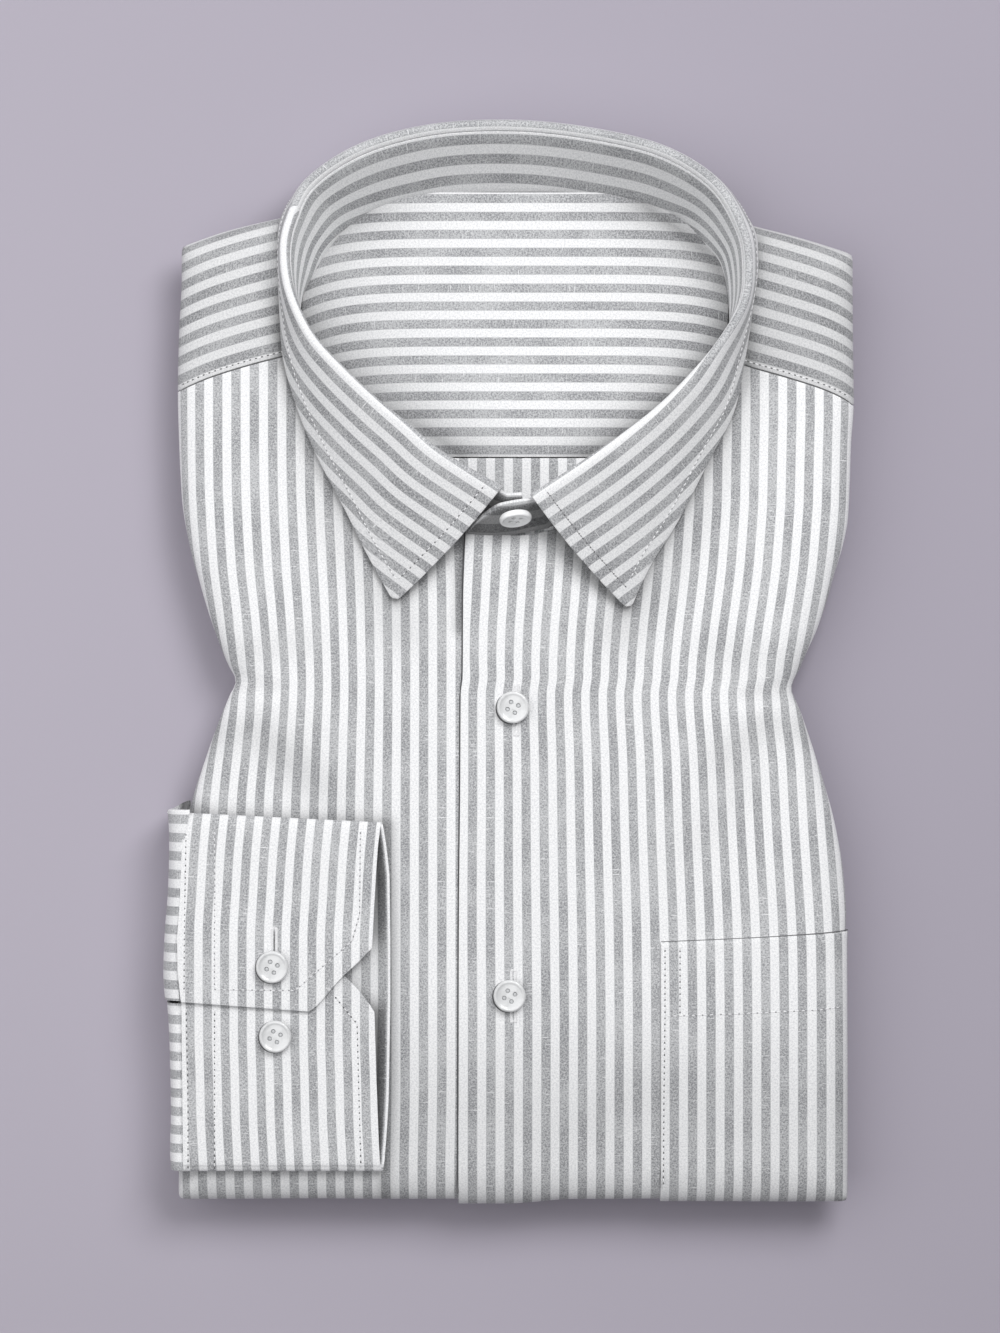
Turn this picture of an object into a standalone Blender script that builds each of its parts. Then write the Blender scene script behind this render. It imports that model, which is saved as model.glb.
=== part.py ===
"""A long-sleeved dress shirt, folded as for a shelf, with one cuff brought round to the front.

Sizes are in millimetres and MM turns them into metres. +X is the wearer's left, +Y is towards the
collar and +Z is up from the table. The origin is under the middle of the folded shirt.
"""

import math
from bisect import bisect_right

import bmesh
import bpy
from mathutils import Matrix, Vector

MM = 0.001

# Cloth walls and the gaps left between separate pieces.
PANEL_WALL = 1.4
COLLAR_WALL = 1.3
CUFF_WALL = 1.2
SLEEVE_WALL = 1.6
POCKET_WALL = 1.0
SEAM_GAP = 0.35
LYING_GAP = 0.35

# The rolled edge of the packet, a flattened half round: how far it reaches out, and half its height.
FOLD_REACH = 14.0
FOLD_RISE = 7.5
FOLD_MIDDLE = 18.5
PACKET_TOP = FOLD_MIDDLE + FOLD_RISE
CORNER_POWER = 8.0
FOLD_TURNS = [math.radians(a) for a in (28, 53, 76, 98, 124, 150)]
POCKET_TURNS = [math.radians(a) for a in (28, 53, 76, 98, 120)]
ROW_SPACE = 4.0  # least distance from a piece's first line to its next row of points

# The packet's outline, seen from above. Each side dips in at the waist, where the cloth is pinched.
LEFT_SIDE = [  # y, x
    (149.9, -118.8), (136.0, -119.3), (118.0, -120.2), (97.5, -120.6), (80.0, -120.2), (58.0, -119.1),
    (41.0, -116.2), (28.0, -112.6), (16.0, -109.0), (4.5, -105.0), (-3.5, -101.9), (-8.5, -100.6),
    (-12.5, -101.9), (-19.5, -104.9), (-34.5, -110.3), (-52.0, -115.9), (-70.0, -119.2), (-88.0, -120.3),
    (-122.6, -120.3), (-150.0, -120.0), (-176.0, -120.0), (-183.5, -120.4),
]
RIGHT_SIDE = [  # y, x
    (147.0, 123.5), (132.0, 123.8), (112.5, 124.0), (92.5, 124.2), (78.0, 123.1), (62.0, 122.5),
    (51.0, 121.9), (41.5, 120.1), (31.0, 117.0), (22.0, 114.5), (11.0, 110.8), (-0.5, 105.7),
    (-10.8, 102.4), (-19.5, 105.4), (-28.0, 108.2), (-42.0, 112.6), (-59.0, 117.2), (-75.0, 120.1),
    (-92.0, 121.4), (-104.0, 120.9), (-145.0, 120.9), (-183.5, 120.9),
]
SIDE_LIMIT = 124.0  # just past the packet's widest point, left or right
SHOULDER_EDGE = [  # x, y of the fold along the top of both shoulders, and behind the neck
    (-118.8, 149.9), (-103.0, 155.2), (-82.5, 160.1), (-60.0, 165.5), (-40.0, 169.4), (-20.0, 171.6),
    (2.0, 172.3), (24.0, 171.2), (44.0, 168.7), (65.0, 164.0), (86.5, 157.5), (103.0, 153.2),
    (123.5, 147.0),
]
BOTTOM_EDGE = -195.0

# Where the panels of the front end.
FRONT_EDGE = [  # y, x of the folded edge of the lapping front
    (56.0, -16.0), (24.0, -17.2), (-6.0, -17.4), (-12.0, -18.1), (-47.0, -18.3), (-86.0, -18.7),
    (-195.0, -19.1),
]
UNDERLAP = 15.0
LAP_RISE = PANEL_WALL + LYING_GAP
LAP_LEVEL = 17.0
LAP_RUN_OUT = 26.0
NECK_FRONT = [  # x, y of the fronts' edge along the collar
    (-77.0, 110.6), (-70.5, 99.4), (-60.0, 86.6), (-48.0, 74.8), (-35.5, 64.0), (-23.0, 54.6),
    (-13.0, 49.4), (-6.5, 45.6), (2.0, 44.8), (15.0, 47.0), (27.0, 54.8), (38.0, 63.6), (50.0, 74.2),
    (61.0, 85.2), (72.5, 98.0), (80.2, 107.6),
]
UNDER_INNER_COLUMNS = [-3.6, -15.0, -24.0]  # x at the neckline of the columns nearest the front's edge
OVER_INNER_COLUMNS = [-16.2, -4.0, 8.0, 20.0]
NECK_COLUMNS_FROM = 25.0  # further out than this, the neckline's own points carry the columns
SEAM_SHARES = (0.34, 0.67, 1.0)
LEFT_YOKE_SEAM = [  # x, y
    (-119.9, 97.4), (-108.4, 101.9), (-96.5, 105.7), (-82.8, 109.4), (-77.0, 111.0),
]
RIGHT_YOKE_SEAM = [  # x, y
    (80.2, 108.0), (84.8, 106.2), (99.7, 101.8), (111.6, 98.0), (120.6, 94.2), (123.5, 92.4),
]
SEAM_TO_ROLL = 108.0  # x where a yoke seam comes to the rolled side, left or right
LEFT_YOKE_NECK = [  # y, x
    (111.0, -77.0), (118.0, -77.8), (126.0, -78.6), (136.0, -79.4), (146.0, -79.8), (165.0, -79.4),
]
RIGHT_YOKE_NECK = [  # y, x
    (108.0, 80.2), (118.0, 81.0), (126.0, 81.8), (136.0, 82.4), (146.0, 82.6), (160.0, 82.0),
]
YOKE_NECK_FOOT = 110.0
YOKE_NECK_HEAD = 160.0
YOKE_SHARES = (0.0, 0.3, 0.65, 1.0)

# The pocket, on the wearer's left front. Its far side and its end run round the packet's folds.
POCKET_INNER_EDGE = 54.0
POCKET_SHARES = (0.0, 0.2, 0.4, 0.6, 0.8, 1.0)
POCKET_MOUTH = [(54.0, -101.8), (73.0, -101.0), (93.0, -100.0), (111.5, -98.8), (122.0, -98.0)]  # x, y

# The collar, one row for each section round the neck, from the point on the wearer's right, round
# the back, to the point on the left. The stand goes from the base up to the fold, and the leaf from
# the fold down to its edge, bowed up between them.
COLLAR = [  # base x, y, z; fold x, y, z; edge x, y, z; bow
    (-9.0, 50.2, 26.3, -4.5, 60.0, 43.0, -42.0, 21.5, 27.9, 0.8),
    (-31.0, 63.5, 26.1, -25.3, 74.0, 43.0, -51.5, 37.0, 27.9, 1.0),
    (-45.5, 75.8, 25.8, -38.9, 82.3, 43.0, -60.3, 54.5, 27.9, 1.2),
    (-57.0, 87.2, 25.4, -48.4, 92.9, 43.0, -70.0, 73.3, 27.9, 1.2),
    (-67.0, 99.7, 24.6, -59.4, 105.5, 43.0, -77.2, 90.8, 27.9, 1.2),
    (-74.0, 112.8, 22.5, -69.2, 117.7, 42.3, -82.2, 109.0, 27.7, 0.6),
    (-76.0, 129.5, 18.0, -76.8, 131.8, 41.0, -83.6, 130.0, 27.5, 0.4),
    (-71.5, 141.8, 14.0, -80.2, 146.1, 39.0, -84.0, 145.5, 27.4, 0.3),
    (-66.0, 151.2, 11.8, -78.3, 157.6, 37.5, -82.7, 160.2, 26.0, 0.3),
    (-58.0, 160.0, 10.1, -69.8, 169.0, 34.3, -73.0, 172.8, 6.0, 1.0),
    (-44.5, 167.6, 8.6, -52.5, 181.5, 30.2, -54.0, 187.0, 1.4, 1.0),
    (-25.5, 171.4, 7.4, -27.0, 188.8, 27.6, -27.3, 193.9, 1.2, 1.0),
    (3.0, 172.2, 7.0, 3.2, 190.0, 27.0, 3.3, 195.4, 1.2, 1.0),
    (30.0, 171.4, 7.4, 32.0, 187.2, 27.8, 33.0, 192.4, 1.2, 1.0),
    (50.5, 167.2, 8.7, 55.0, 180.6, 29.8, 57.5, 185.5, 1.4, 1.0),
    (63.2, 160.9, 10.4, 72.0, 169.0, 34.3, 76.0, 172.6, 6.0, 1.0),
    (72.5, 150.2, 12.1, 81.2, 154.0, 38.0, 85.6, 156.0, 26.6, 0.3),
    (77.2, 142.2, 13.6, 82.9, 142.0, 39.8, 87.6, 142.5, 27.4, 0.3),
    (79.1, 127.5, 17.2, 80.2, 127.5, 41.4, 86.7, 127.5, 27.5, 0.4),
    (77.9, 112.5, 21.5, 74.0, 113.5, 42.6, 84.4, 108.5, 27.7, 0.6),
    (70.5, 99.5, 24.4, 63.5, 101.0, 43.0, 80.3, 89.2, 27.9, 1.2),
    (58.5, 85.2, 25.3, 52.0, 90.0, 43.0, 71.0, 70.8, 27.9, 1.2),
    (46.5, 73.0, 25.8, 39.5, 80.0, 43.0, 60.5, 50.0, 27.9, 1.2),
    (32.0, 61.0, 26.1, 25.5, 70.7, 43.0, 50.5, 34.0, 27.9, 1.0),
    (13.0, 48.2, 26.3, 7.3, 58.2, 43.0, 42.9, 18.6, 27.9, 0.8),
]
STEPS_PER_SECTION = 2
ROLL_RADIUS = 1.75
ROLL_STEPS = 4
LEAF_STEPS = 5
LEAF_ROOT = 1.5
# The stand runs past the leaf at both ends: the buttonhole end laps over the button end.
UNDER_END = [  # base x, y, z; top x, y, z
    (4.2, 49.3, 26.6, 4.0, 59.7, 41.2), (-2.0, 49.0, 26.5, -1.0, 59.4, 41.0),
]
OVER_END = [  # base x, y, z; top x, y, z
    (1.4, 46.5, 27.0, 1.4, 57.0, 41.8), (-4.6, 47.1, 27.2, -5.2, 56.4, 40.6),
    (-5.8, 48.4, 28.8, -6.3, 54.9, 38.0),
]

# The inside of the back yoke and the back panel, on the floor of the neck opening.
WELL_FLOOR = 5.0
YOKE_FLOOR = [  # y, height in the middle, height at the neckline
    (75.9, 8.8, 9.0), (90.0, 8.7, 9.2), (105.0, 8.5, 10.0), (118.0, 8.2, 13.0), (128.0, 8.0, 15.6),
    (138.0, 7.8, 13.6), (148.0, 7.5, 11.4), (157.0, 7.2, 9.6), (164.0, 7.0, 8.4), (168.5, 6.9, 7.4),
    (170.9, 6.8, 7.0),
]
FLOOR_SHARES = [-1.0, -0.9, -0.72, -0.45, -0.15, 0.15, 0.45, 0.72, 0.9, 1.0]
BACK_PANEL_ROWS = [75.5, 67.0, 58.0, 51.0]
BACK_PANEL_TOP = 8.6
FLOOR_WALL = 1.2
FLOOR_INSET = 0.9

# The cuff, a flattened band whose ends lap, from the buttonhole end round to the button end.
CUFF = [  # y, z, x at the seam with the sleeve, x at the outer edge
    (-125.2, 33.0, -118.2, -72.4), (-113.8, 33.0, -119.4, -61.4), (-102.4, 32.8, -119.6, -49.8),
    (-88.0, 31.9, -118.7, -49.1), (-70.0, 31.6, -118.0, -48.0), (-62.0, 31.2, -117.1, -47.2),
    (-58.8, 30.4, -116.4, -46.9), (-57.6, 28.9, -116.2, -46.7), (-58.8, 27.3, -116.4, -46.2),
    (-62.0, 26.6, -117.0, -45.4), (-76.5, 26.4, -118.0, -43.6), (-100.0, 26.4, -119.0, -43.3),
    (-122.0, 26.4, -118.4, -43.3), (-157.0, 26.4, -117.9, -43.9), (-177.0, 26.6, -117.6, -45.2),
    (-182.0, 27.3, -117.6, -45.8), (-183.6, 28.9, -117.6, -46.3), (-182.0, 30.4, -117.6, -46.6),
    (-177.0, 31.2, -117.6, -47.2), (-150.0, 31.3, -117.9, -48.3), (-125.6, 31.2, -118.2, -49.0),
    (-112.0, 31.2, -119.0, -60.4), (-104.0, 31.1, -119.2, -68.4),
]

CUFF_SHARES = [0.0, 0.25, 0.5, 0.75, 1.0]

# The sleeve comes from under the packet, round its side and up to the cuff.
SLEEVE = [  # y, x at the seam with the cuff, x at the fold round the packet's side
    (-54.2, -116.6, -123.9), (-65.0, -118.4, -123.4), (-82.0, -119.2, -123.8), (-99.8, -120.2, -125.1),
    (-111.9, -120.6, -125.5), (-122.2, -120.2, -124.9), (-123.3, -118.6, -124.2), (-145.0, -118.6, -123.1),
    (-164.0, -118.4, -122.8), (-176.0, -118.4, -123.1), (-183.4, -118.4, -122.8),
]
SLEEVE_PATH = [  # share of the way out from the seam to the fold, shift back inward, z
    (0.0, 0.0, 31.2), (0.2, 0.0, 31.1), (0.55, 0.0, 29.9), (0.85, 0.0, 27.2), (1.0, 0.0, 22.5),
    (1.0, 0.0, 15.0), (1.0, 0.5, 8.5), (1.0, 1.9, 3.2), (1.0, 3.9, 0.9), (1.0, 5.8, 0.3),
    (1.0, 8.2, 0.25),
]
SLIT_ROW = 5
SLIT_STEPS = 5

# Edges of the hidden folds under the rolled edge.
LAYER_EDGES = [  # reach out from the roll's middle, height
    (4.2, 12.9), (4.2, 10.1), (9.3, 9.8), (10.7, 8.6), (9.8, 7.3), (7.9, 6.9), (9.0, 6.4), (9.4, 5.2),
    (8.3, 3.9), (6.3, 3.5), (7.1, 3.0), (7.3, 1.5), (5.9, 0.2), (5.0, 0.0),
]
CORE_SIDE_GAP = 0.8
CORE_TOP_GAP = 0.45
CORE_REACH = FOLD_REACH - PANEL_WALL - CORE_SIDE_GAP
CORE_RISE = FOLD_RISE - PANEL_WALL - CORE_TOP_GAP
CORE_TURNS = [math.radians(a) for a in (20, 45, 70, 90, 110, 130, 150)]
END_SHARES = (0.2, 0.4, 0.6, 0.8)
CORNER_SHARES = (0.0, 0.5, 0.85, 1.0)
SHARP_FOLD = math.radians(50)

# The neck well cut into the hidden folds follows the collar's base, and widens upward behind the neck.
WELL_WALL = 1.0
WELL_TOP = PACKET_TOP + 4.0
WELL_FLARE = [  # how far it widens at the top, for each collar row
    0, 0, 0, 0, 0, 2, 8, 14, 18, 20, 24, 27, 27, 27, 24, 20, 18, 14, 8, 2, 0, 0, 0, 0, 0,
]

# Buttons: four holes, a raised rim.
BUTTON_PROFILE = [  # radius, z, from the middle of the face over the rim to the middle of the back
    (0.0, 1.7), (3.3, 1.7), (4.1, 2.3), (5.2, 2.3), (5.8, 1.6), (5.8, 0.8), (5.0, 0.0), (0.0, 0.0),
]
BUTTON_SIDES = 20
SHARP_RIM = math.radians(35)
HOLE_SIDES = 8
HOLE_DEPTH = 6.0
HOLE_RADIUS = 0.75
HOLE_PITCH = 2.5
BUTTON_GAP = 0.3
FRONT_BUTTONS = [(0.7, -17.0), (-0.5, -120.6)]  # x, y
CUFF_BUTTONS = [(-85.4, -109.8, 33.0), (-84.4, -134.8, 31.3)]  # x, y, z of the cuff under it
COLLAR_BUTTON_SHARE = 0.66  # of the way up the stand's end

WHITE_STRIPE = (0.86, 0.87, 0.88, 1.0)
GREY_CLOTH = (0.60, 0.61, 0.64, 1.0)
PEARL = (0.87, 0.86, 0.83, 1.0)


def along(rows, key, column=1):
    """A table's column at a key, on a curve that goes through the rows and never swings past them."""
    rows = sorted(rows)
    keys = [row[0] for row in rows]
    values = [row[column] for row in rows]
    if key <= keys[0]:
        return values[0]
    if key >= keys[-1]:
        return values[-1]
    steps = [b - a for a, b in zip(keys, keys[1:])]
    rises = [(b - a) / step for a, b, step in zip(values, values[1:], steps)]
    turns = [0.0 if a * b <= 0 else 2 * a * b / (a + b) for a, b in zip(rises, rises[1:])]
    slopes = [rises[0], *turns, rises[-1]]
    i = bisect_right(keys, key) - 1
    t = (key - keys[i]) / steps[i]
    start = values[i] * (1 + 2 * t) * (1 - t) ** 2 + slopes[i] * steps[i] * t * (1 - t) ** 2
    end = values[i + 1] * t * t * (3 - 2 * t) - slopes[i + 1] * steps[i] * t * t * (1 - t)
    return start + end


def mix(a, b, share):
    return a + (b - a) * share


def smooth(share):
    """0 to 1 with soft ends."""
    share = min(max(share, 0.0), 1.0)
    return share * share * (3 - 2 * share)


def section(rows, place):
    """The row at a place between rows, counted from 0, on a smooth curve through all of them."""
    i = min(int(place), len(rows) - 2)
    t = place - i
    before = rows[max(i - 1, 0)]
    after = rows[min(i + 2, len(rows) - 1)]
    values = []
    for a, b, c, d in zip(before, rows[i], rows[i + 1], after):
        values.append(b + 0.5 * t * (c - a + t * (2 * a - 5 * b + 4 * c - d + t * (3 * (b - c) + d - a))))
    return values


# Blender helpers.


def cloth_material(name, colour, roughness):
    material = bpy.data.materials.new(name)
    material.use_nodes = True
    shader = material.node_tree.nodes["Principled BSDF"]
    shader.inputs["Base Color"].default_value = colour
    shader.inputs["Roughness"].default_value = roughness
    shader.inputs["Metallic"].default_value = 0.0
    return material


def add_object(name, mesh, material, collection):
    piece = bpy.data.objects.new(name, mesh)
    mesh.materials.append(material)
    collection.objects.link(piece)
    return piece


def add_sheet(name, columns, rows, point, wall, material, collection, flip=False, slit=None):
    """A cloth piece: a grid laid on the piece's outer form, with its wall added behind by Solidify."""
    grid = bmesh.new()
    across, down = len(columns) - 1, len(rows) - 1
    bmesh.ops.create_grid(grid, x_segments=across, y_segments=down, size=1.0)
    places = {}
    for vert in grid.verts:
        places[vert] = (round((vert.co.x + 1) / 2 * across), round((vert.co.y + 1) / 2 * down))
    if slit:
        cut = []
        for face in grid.faces:
            i, j = (min(places[vert][k] for vert in face.verts) for k in (0, 1))
            if slit(i, j):
                cut.append(face)
        bmesh.ops.delete(grid, geom=cut, context="FACES")
    for vert, (i, j) in places.items():
        if vert.is_valid:
            vert.co = Vector(point(columns[i], rows[j])) * MM
    if flip:
        bmesh.ops.reverse_faces(grid, faces=grid.faces[:])
    mesh = bpy.data.meshes.new(name)
    grid.to_mesh(mesh)
    grid.free()
    mesh.shade_smooth()
    piece = add_object(name, mesh, material, collection)
    solidify = piece.modifiers.new("wall", "SOLIDIFY")
    solidify.thickness = wall * MM
    solidify.offset = -1.0
    return piece


def loft(rings):
    """A closed solid from rings of equal count, first ring lowest, with flat ends."""
    solid = bmesh.new()
    loops = [[solid.verts.new(Vector(point) * MM) for point in ring] for ring in rings]
    count = len(rings[0])
    for lower, upper in zip(loops, loops[1:]):
        for k in range(count):
            following = (k + 1) % count
            solid.faces.new((lower[k], lower[following], upper[following], upper[k]))
    ends = [solid.faces.new(reversed(loops[0])), solid.faces.new(loops[-1])]
    bmesh.ops.triangulate(solid, faces=ends)
    return solid


# The packet's outer skin.


def roll(theta, phi):
    """Reach to the side, reach to the end and height, of a place on the rolled edge, each as a share."""
    turn = max(theta, phi)
    if turn == 0.0:
        return 0.0, 0.0, 1.0
    side, end = theta / turn, phi / turn
    size = (side**CORNER_POWER + end**CORNER_POWER) ** (1 / CORNER_POWER)
    return math.sin(turn) * side / size, math.sin(turn) * end / size, math.cos(turn)


def side_table(side):
    return RIGHT_SIDE if side > 0 else LEFT_SIDE


def roll_start(side, y):
    """Where the side starts to roll over, at the height y on the page."""
    return along(side_table(side), y) - side * FOLD_REACH


def lap_rise(x, y):
    """How far the lapping front is lifted by the front that it lies on."""
    from_edge = x - along(FRONT_EDGE, y)
    return LAP_RISE * (1 - smooth((from_edge - LAP_LEVEL) / LAP_RUN_OUT))


def skin(side, end, x, y, theta, phi, out=0.0):
    """A point on the packet: x and y up to the roll, then the turns round it. out is off the skin."""
    reach_x, reach_y, height = roll(theta, phi)
    return (
        x + side * (FOLD_REACH + out) * reach_x,
        y + end * (FOLD_REACH + out) * reach_y,
        FOLD_MIDDLE + (FOLD_RISE + out) * height,
    )


END_LINE = BOTTOM_EDGE + FOLD_REACH


def front_rows(side, top):
    """The rows down a front, each as a share from the top line to the end roll, then the turns round it."""
    stations = [y for y, _ in side_table(side) if END_LINE < y < top - ROW_SPACE]
    shares = [0.0] + [(top - y) / (top - END_LINE) for y in stations] + [1.0]
    return [(share, 0.0) for share in shares] + [(1.0, turn) for turn in FOLD_TURNS]


def build_front(name, side, material, collection):
    """One front: from its edge, along the neckline and the yoke seam, round the side and the end."""
    seam = RIGHT_YOKE_SEAM if side > 0 else LEFT_YOKE_SEAM
    inner = OVER_INNER_COLUMNS if side > 0 else UNDER_INNER_COLUMNS
    neck = sorted((x for x, _ in NECK_FRONT if x * side > NECK_COLUMNS_FROM), key=abs)
    roll_x = roll_start(side, along(seam, side * SEAM_TO_ROLL))
    columns = [(x, along(NECK_FRONT, x), 0.0) for x in inner + neck[:-1]]
    for x in [neck[-1]] + [mix(neck[-1], roll_x, share) for share in SEAM_SHARES]:
        columns.append((x, along(seam, x) - SEAM_GAP, 0.0))
    for turn in FOLD_TURNS:
        reach = roll_x + side * FOLD_REACH * math.sin(turn)
        columns.append((roll_x, along(seam, reach) - SEAM_GAP, turn))
    side_top = along(seam, side * SIDE_LIMIT) - SEAM_GAP

    def inner_edge(y):
        return along(FRONT_EDGE, y) + (0.0 if side > 0 else UNDERLAP)

    def point(column, row):
        top_x, top_y, theta = column
        share, phi = row
        y = mix(top_y, END_LINE, share)
        across = 1.0
        if theta == 0.0:
            across = (top_x - inner_edge(top_y)) / (roll_start(side, top_y) - inner_edge(top_y))
        x = mix(inner_edge(y), roll_start(side, y), across)
        return skin(side, -1, x, y, theta, phi, out=lap_rise(x, y) if side > 0 else 0.0)

    rows = front_rows(side, side_top)
    return add_sheet(name, columns, rows, point, PANEL_WALL, material, collection, flip=side > 0)


def build_pocket(material, collection):
    """The patch pocket: the front's own points, moved out, from its mouth round the side and the end."""
    columns = [(share, 0.0) for share in POCKET_SHARES] + [(1.0, turn) for turn in POCKET_TURNS]
    top = along(POCKET_MOUTH, SIDE_LIMIT)
    stations = [y for y, _ in RIGHT_SIDE if END_LINE < y < top - ROW_SPACE]
    rows = [(0.0, 0.0)] + [((top - y) / (top - END_LINE), 0.0) for y in stations]
    rows += [(1.0, 0.0)] + [(1.0, turn) for turn in POCKET_TURNS]

    def point(column, row):
        across, theta = column
        share, phi = row
        mouth_x = mix(POCKET_INNER_EDGE, roll_start(1, top), across)
        y = mix(along(POCKET_MOUTH, mouth_x + (FOLD_REACH if theta else 0.0)), END_LINE, share)
        x = mix(POCKET_INNER_EDGE, roll_start(1, y), across)
        return skin(1, -1, x, y, theta, phi, out=LYING_GAP + POCKET_WALL)

    return add_sheet("pocket", columns, rows, point, POCKET_WALL, material, collection, flip=True)


def build_yoke(name, side, material, collection):
    """The front part of the yoke: from its seam up over the shoulder's fold and round the side."""
    seam = RIGHT_YOKE_SEAM if side > 0 else LEFT_YOKE_SEAM
    neck = RIGHT_YOKE_NECK if side > 0 else LEFT_YOKE_NECK
    foot = along(seam, side * SIDE_LIMIT)
    head = along(SHOULDER_EDGE, side * SIDE_LIMIT) - FOLD_REACH
    stations = [y for y, _ in side_table(side) if foot + ROW_SPACE < y < head]
    shares = [0.0] + sorted((y - foot) / (head - foot) for y in stations) + [1.0]
    rows = [(share, 0.0) for share in shares] + [(1.0, turn) for turn in FOLD_TURNS]
    columns = [(share, 0.0) for share in YOKE_SHARES] + [(1.0, turn) for turn in FOLD_TURNS]

    def point(column, row):
        across, theta = column
        share, phi = row
        roll_x = roll_start(side, mix(foot, head, share))
        x = mix(along(neck, mix(YOKE_NECK_FOOT, YOKE_NECK_HEAD, share)), roll_x, across)
        reach = x + side * FOLD_REACH * roll(theta, phi)[0]
        y = mix(along(seam, reach), along(SHOULDER_EDGE, reach) - FOLD_REACH, share)
        return skin(side, 1, x, y, theta, phi)

    return add_sheet(name, columns, rows, point, PANEL_WALL, material, collection, flip=side < 0)


def neckline_x(side, y):
    """Where the collar's base stands at the height y on the page, left or right of the neck."""
    middle = len(COLLAR) // 2
    rows = COLLAR[: middle + 1] if side < 0 else COLLAR[middle:]
    return along([(row[1], row[0]) for row in rows], y)


def build_neck_floor(yoke_material, panel_material, collection):
    """The inside of the back yoke, up to the collar's base, and the back panel below its seam."""

    def across(y, share):
        left, right = neckline_x(-1, y) + FLOOR_INSET, neckline_x(1, y) - FLOOR_INSET
        return mix(left, right, (share + 1) / 2)

    def yoke_point(share, row):
        y, middle, edge = row
        return across(y, share), y, mix(middle, edge, abs(share) ** 4)

    def panel_point(share, y):
        return across(y, share), y, BACK_PANEL_TOP

    add_sheet(
        "yoke_inner", FLOOR_SHARES, YOKE_FLOOR, yoke_point, FLOOR_WALL, yoke_material, collection
    )
    add_sheet(
        "back_panel",
        FLOOR_SHARES[::3],
        BACK_PANEL_ROWS,
        panel_point,
        FLOOR_WALL,
        panel_material,
        collection,
        flip=True,
    )


# The collar.


def collar_sections():
    count = (len(COLLAR) - 1) * STEPS_PER_SECTION
    return [section(COLLAR, step / STEPS_PER_SECTION) for step in range(count + 1)]


def collar_frame(row):
    """The section's base and edge, the stand's rise, the leaf's normal, and the points of its roll."""
    base, fold, edge = Vector(row[0:3]), Vector(row[3:6]), Vector(row[6:9])
    out = (edge - fold).to_2d().normalized().to_3d()
    up = Vector((0, 0, 1))
    centre = fold - up * ROLL_RADIUS
    rise = fold - base
    stand_turn = math.atan2(rise.z, rise.dot(out))
    to_edge = edge - centre
    level, drop = to_edge.dot(out), to_edge.z
    leaf_turn = math.atan2(drop, level) + math.asin(ROLL_RADIUS / math.hypot(level, drop))
    start, end = stand_turn + math.pi / 2, leaf_turn + math.pi / 2

    def on_roll(angle):
        return centre + (out * math.cos(angle) + up * math.sin(angle)) * ROLL_RADIUS

    stand_up = out * math.cos(stand_turn) + up * math.sin(stand_turn)
    leaf_normal = out * math.cos(end) + up * math.sin(end)
    rolled = [on_roll(mix(start, end, k / ROLL_STEPS)) for k in range(ROLL_STEPS + 1)]
    return base, edge, stand_up, leaf_normal, rolled


def leaf_points(row):
    """The leaf's outer face in one section: up from the stand, round the roll, out to its edge."""
    _, edge, stand_up, leaf_normal, rolled = collar_frame(row)
    points = [rolled[0] - stand_up * LEAF_ROOT] + rolled
    for step in range(1, LEAF_STEPS + 1):
        share = step / LEAF_STEPS
        points.append(rolled[-1].lerp(edge, share) + leaf_normal * (4 * row[9] * share * (1 - share)))
    return points


def stand_points(row):
    """The stand's neck side in one section, from its base to its seam with the leaf."""
    base, _, stand_up, _, rolled = collar_frame(row)
    top = rolled[0] - stand_up * (LEAF_ROOT + SEAM_GAP)
    return [base, base.lerp(top, 0.5), top]


def build_collar(material, collection):
    """The leaf and the stand, each one sheet round the neck, with its grid's columns as sections."""

    def end_points(row):
        base, top = Vector(row[:3]), Vector(row[3:])
        return [base, base.lerp(top, 0.5), top]

    sections = collar_sections()
    leaf = [leaf_points(row) for row in sections]
    stand = [end_points(row) for row in UNDER_END]
    stand += [stand_points(row) for row in sections]
    stand += [end_points(row) for row in OVER_END]
    for name, form in (("collar_leaf", leaf), ("collar_stand", stand)):
        rows = range(len(form[0]))
        add_sheet(name, form, rows, lambda points, j: points[j], COLLAR_WALL, material, collection)


# The sleeve and its cuff.


def build_cuff(material, collection):
    """A band folded flat: it goes up over the top, back underneath and up again to its lapped end."""

    def point(row, share):
        y, z, seam_x, edge_x = row
        return mix(seam_x, edge_x, share), y, z

    return add_sheet("cuff", CUFF, CUFF_SHARES, point, CUFF_WALL, material, collection, flip=True)


def build_sleeve(material, collection):
    """A flattened sleeve from under the packet, with the slit of its opening on top."""

    def point(path, row):
        share, inward, z = path
        y, seam_x, outer_x = row
        return mix(seam_x - SEAM_GAP, outer_x, share) + inward, y, z

    def slit(i, j):
        return j == SLIT_ROW and i < SLIT_STEPS

    return add_sheet(
        "sleeve", SLEEVE_PATH, SLEEVE, point, SLEEVE_WALL, material, collection, slit=slit
    )


# The hidden folds.


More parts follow.
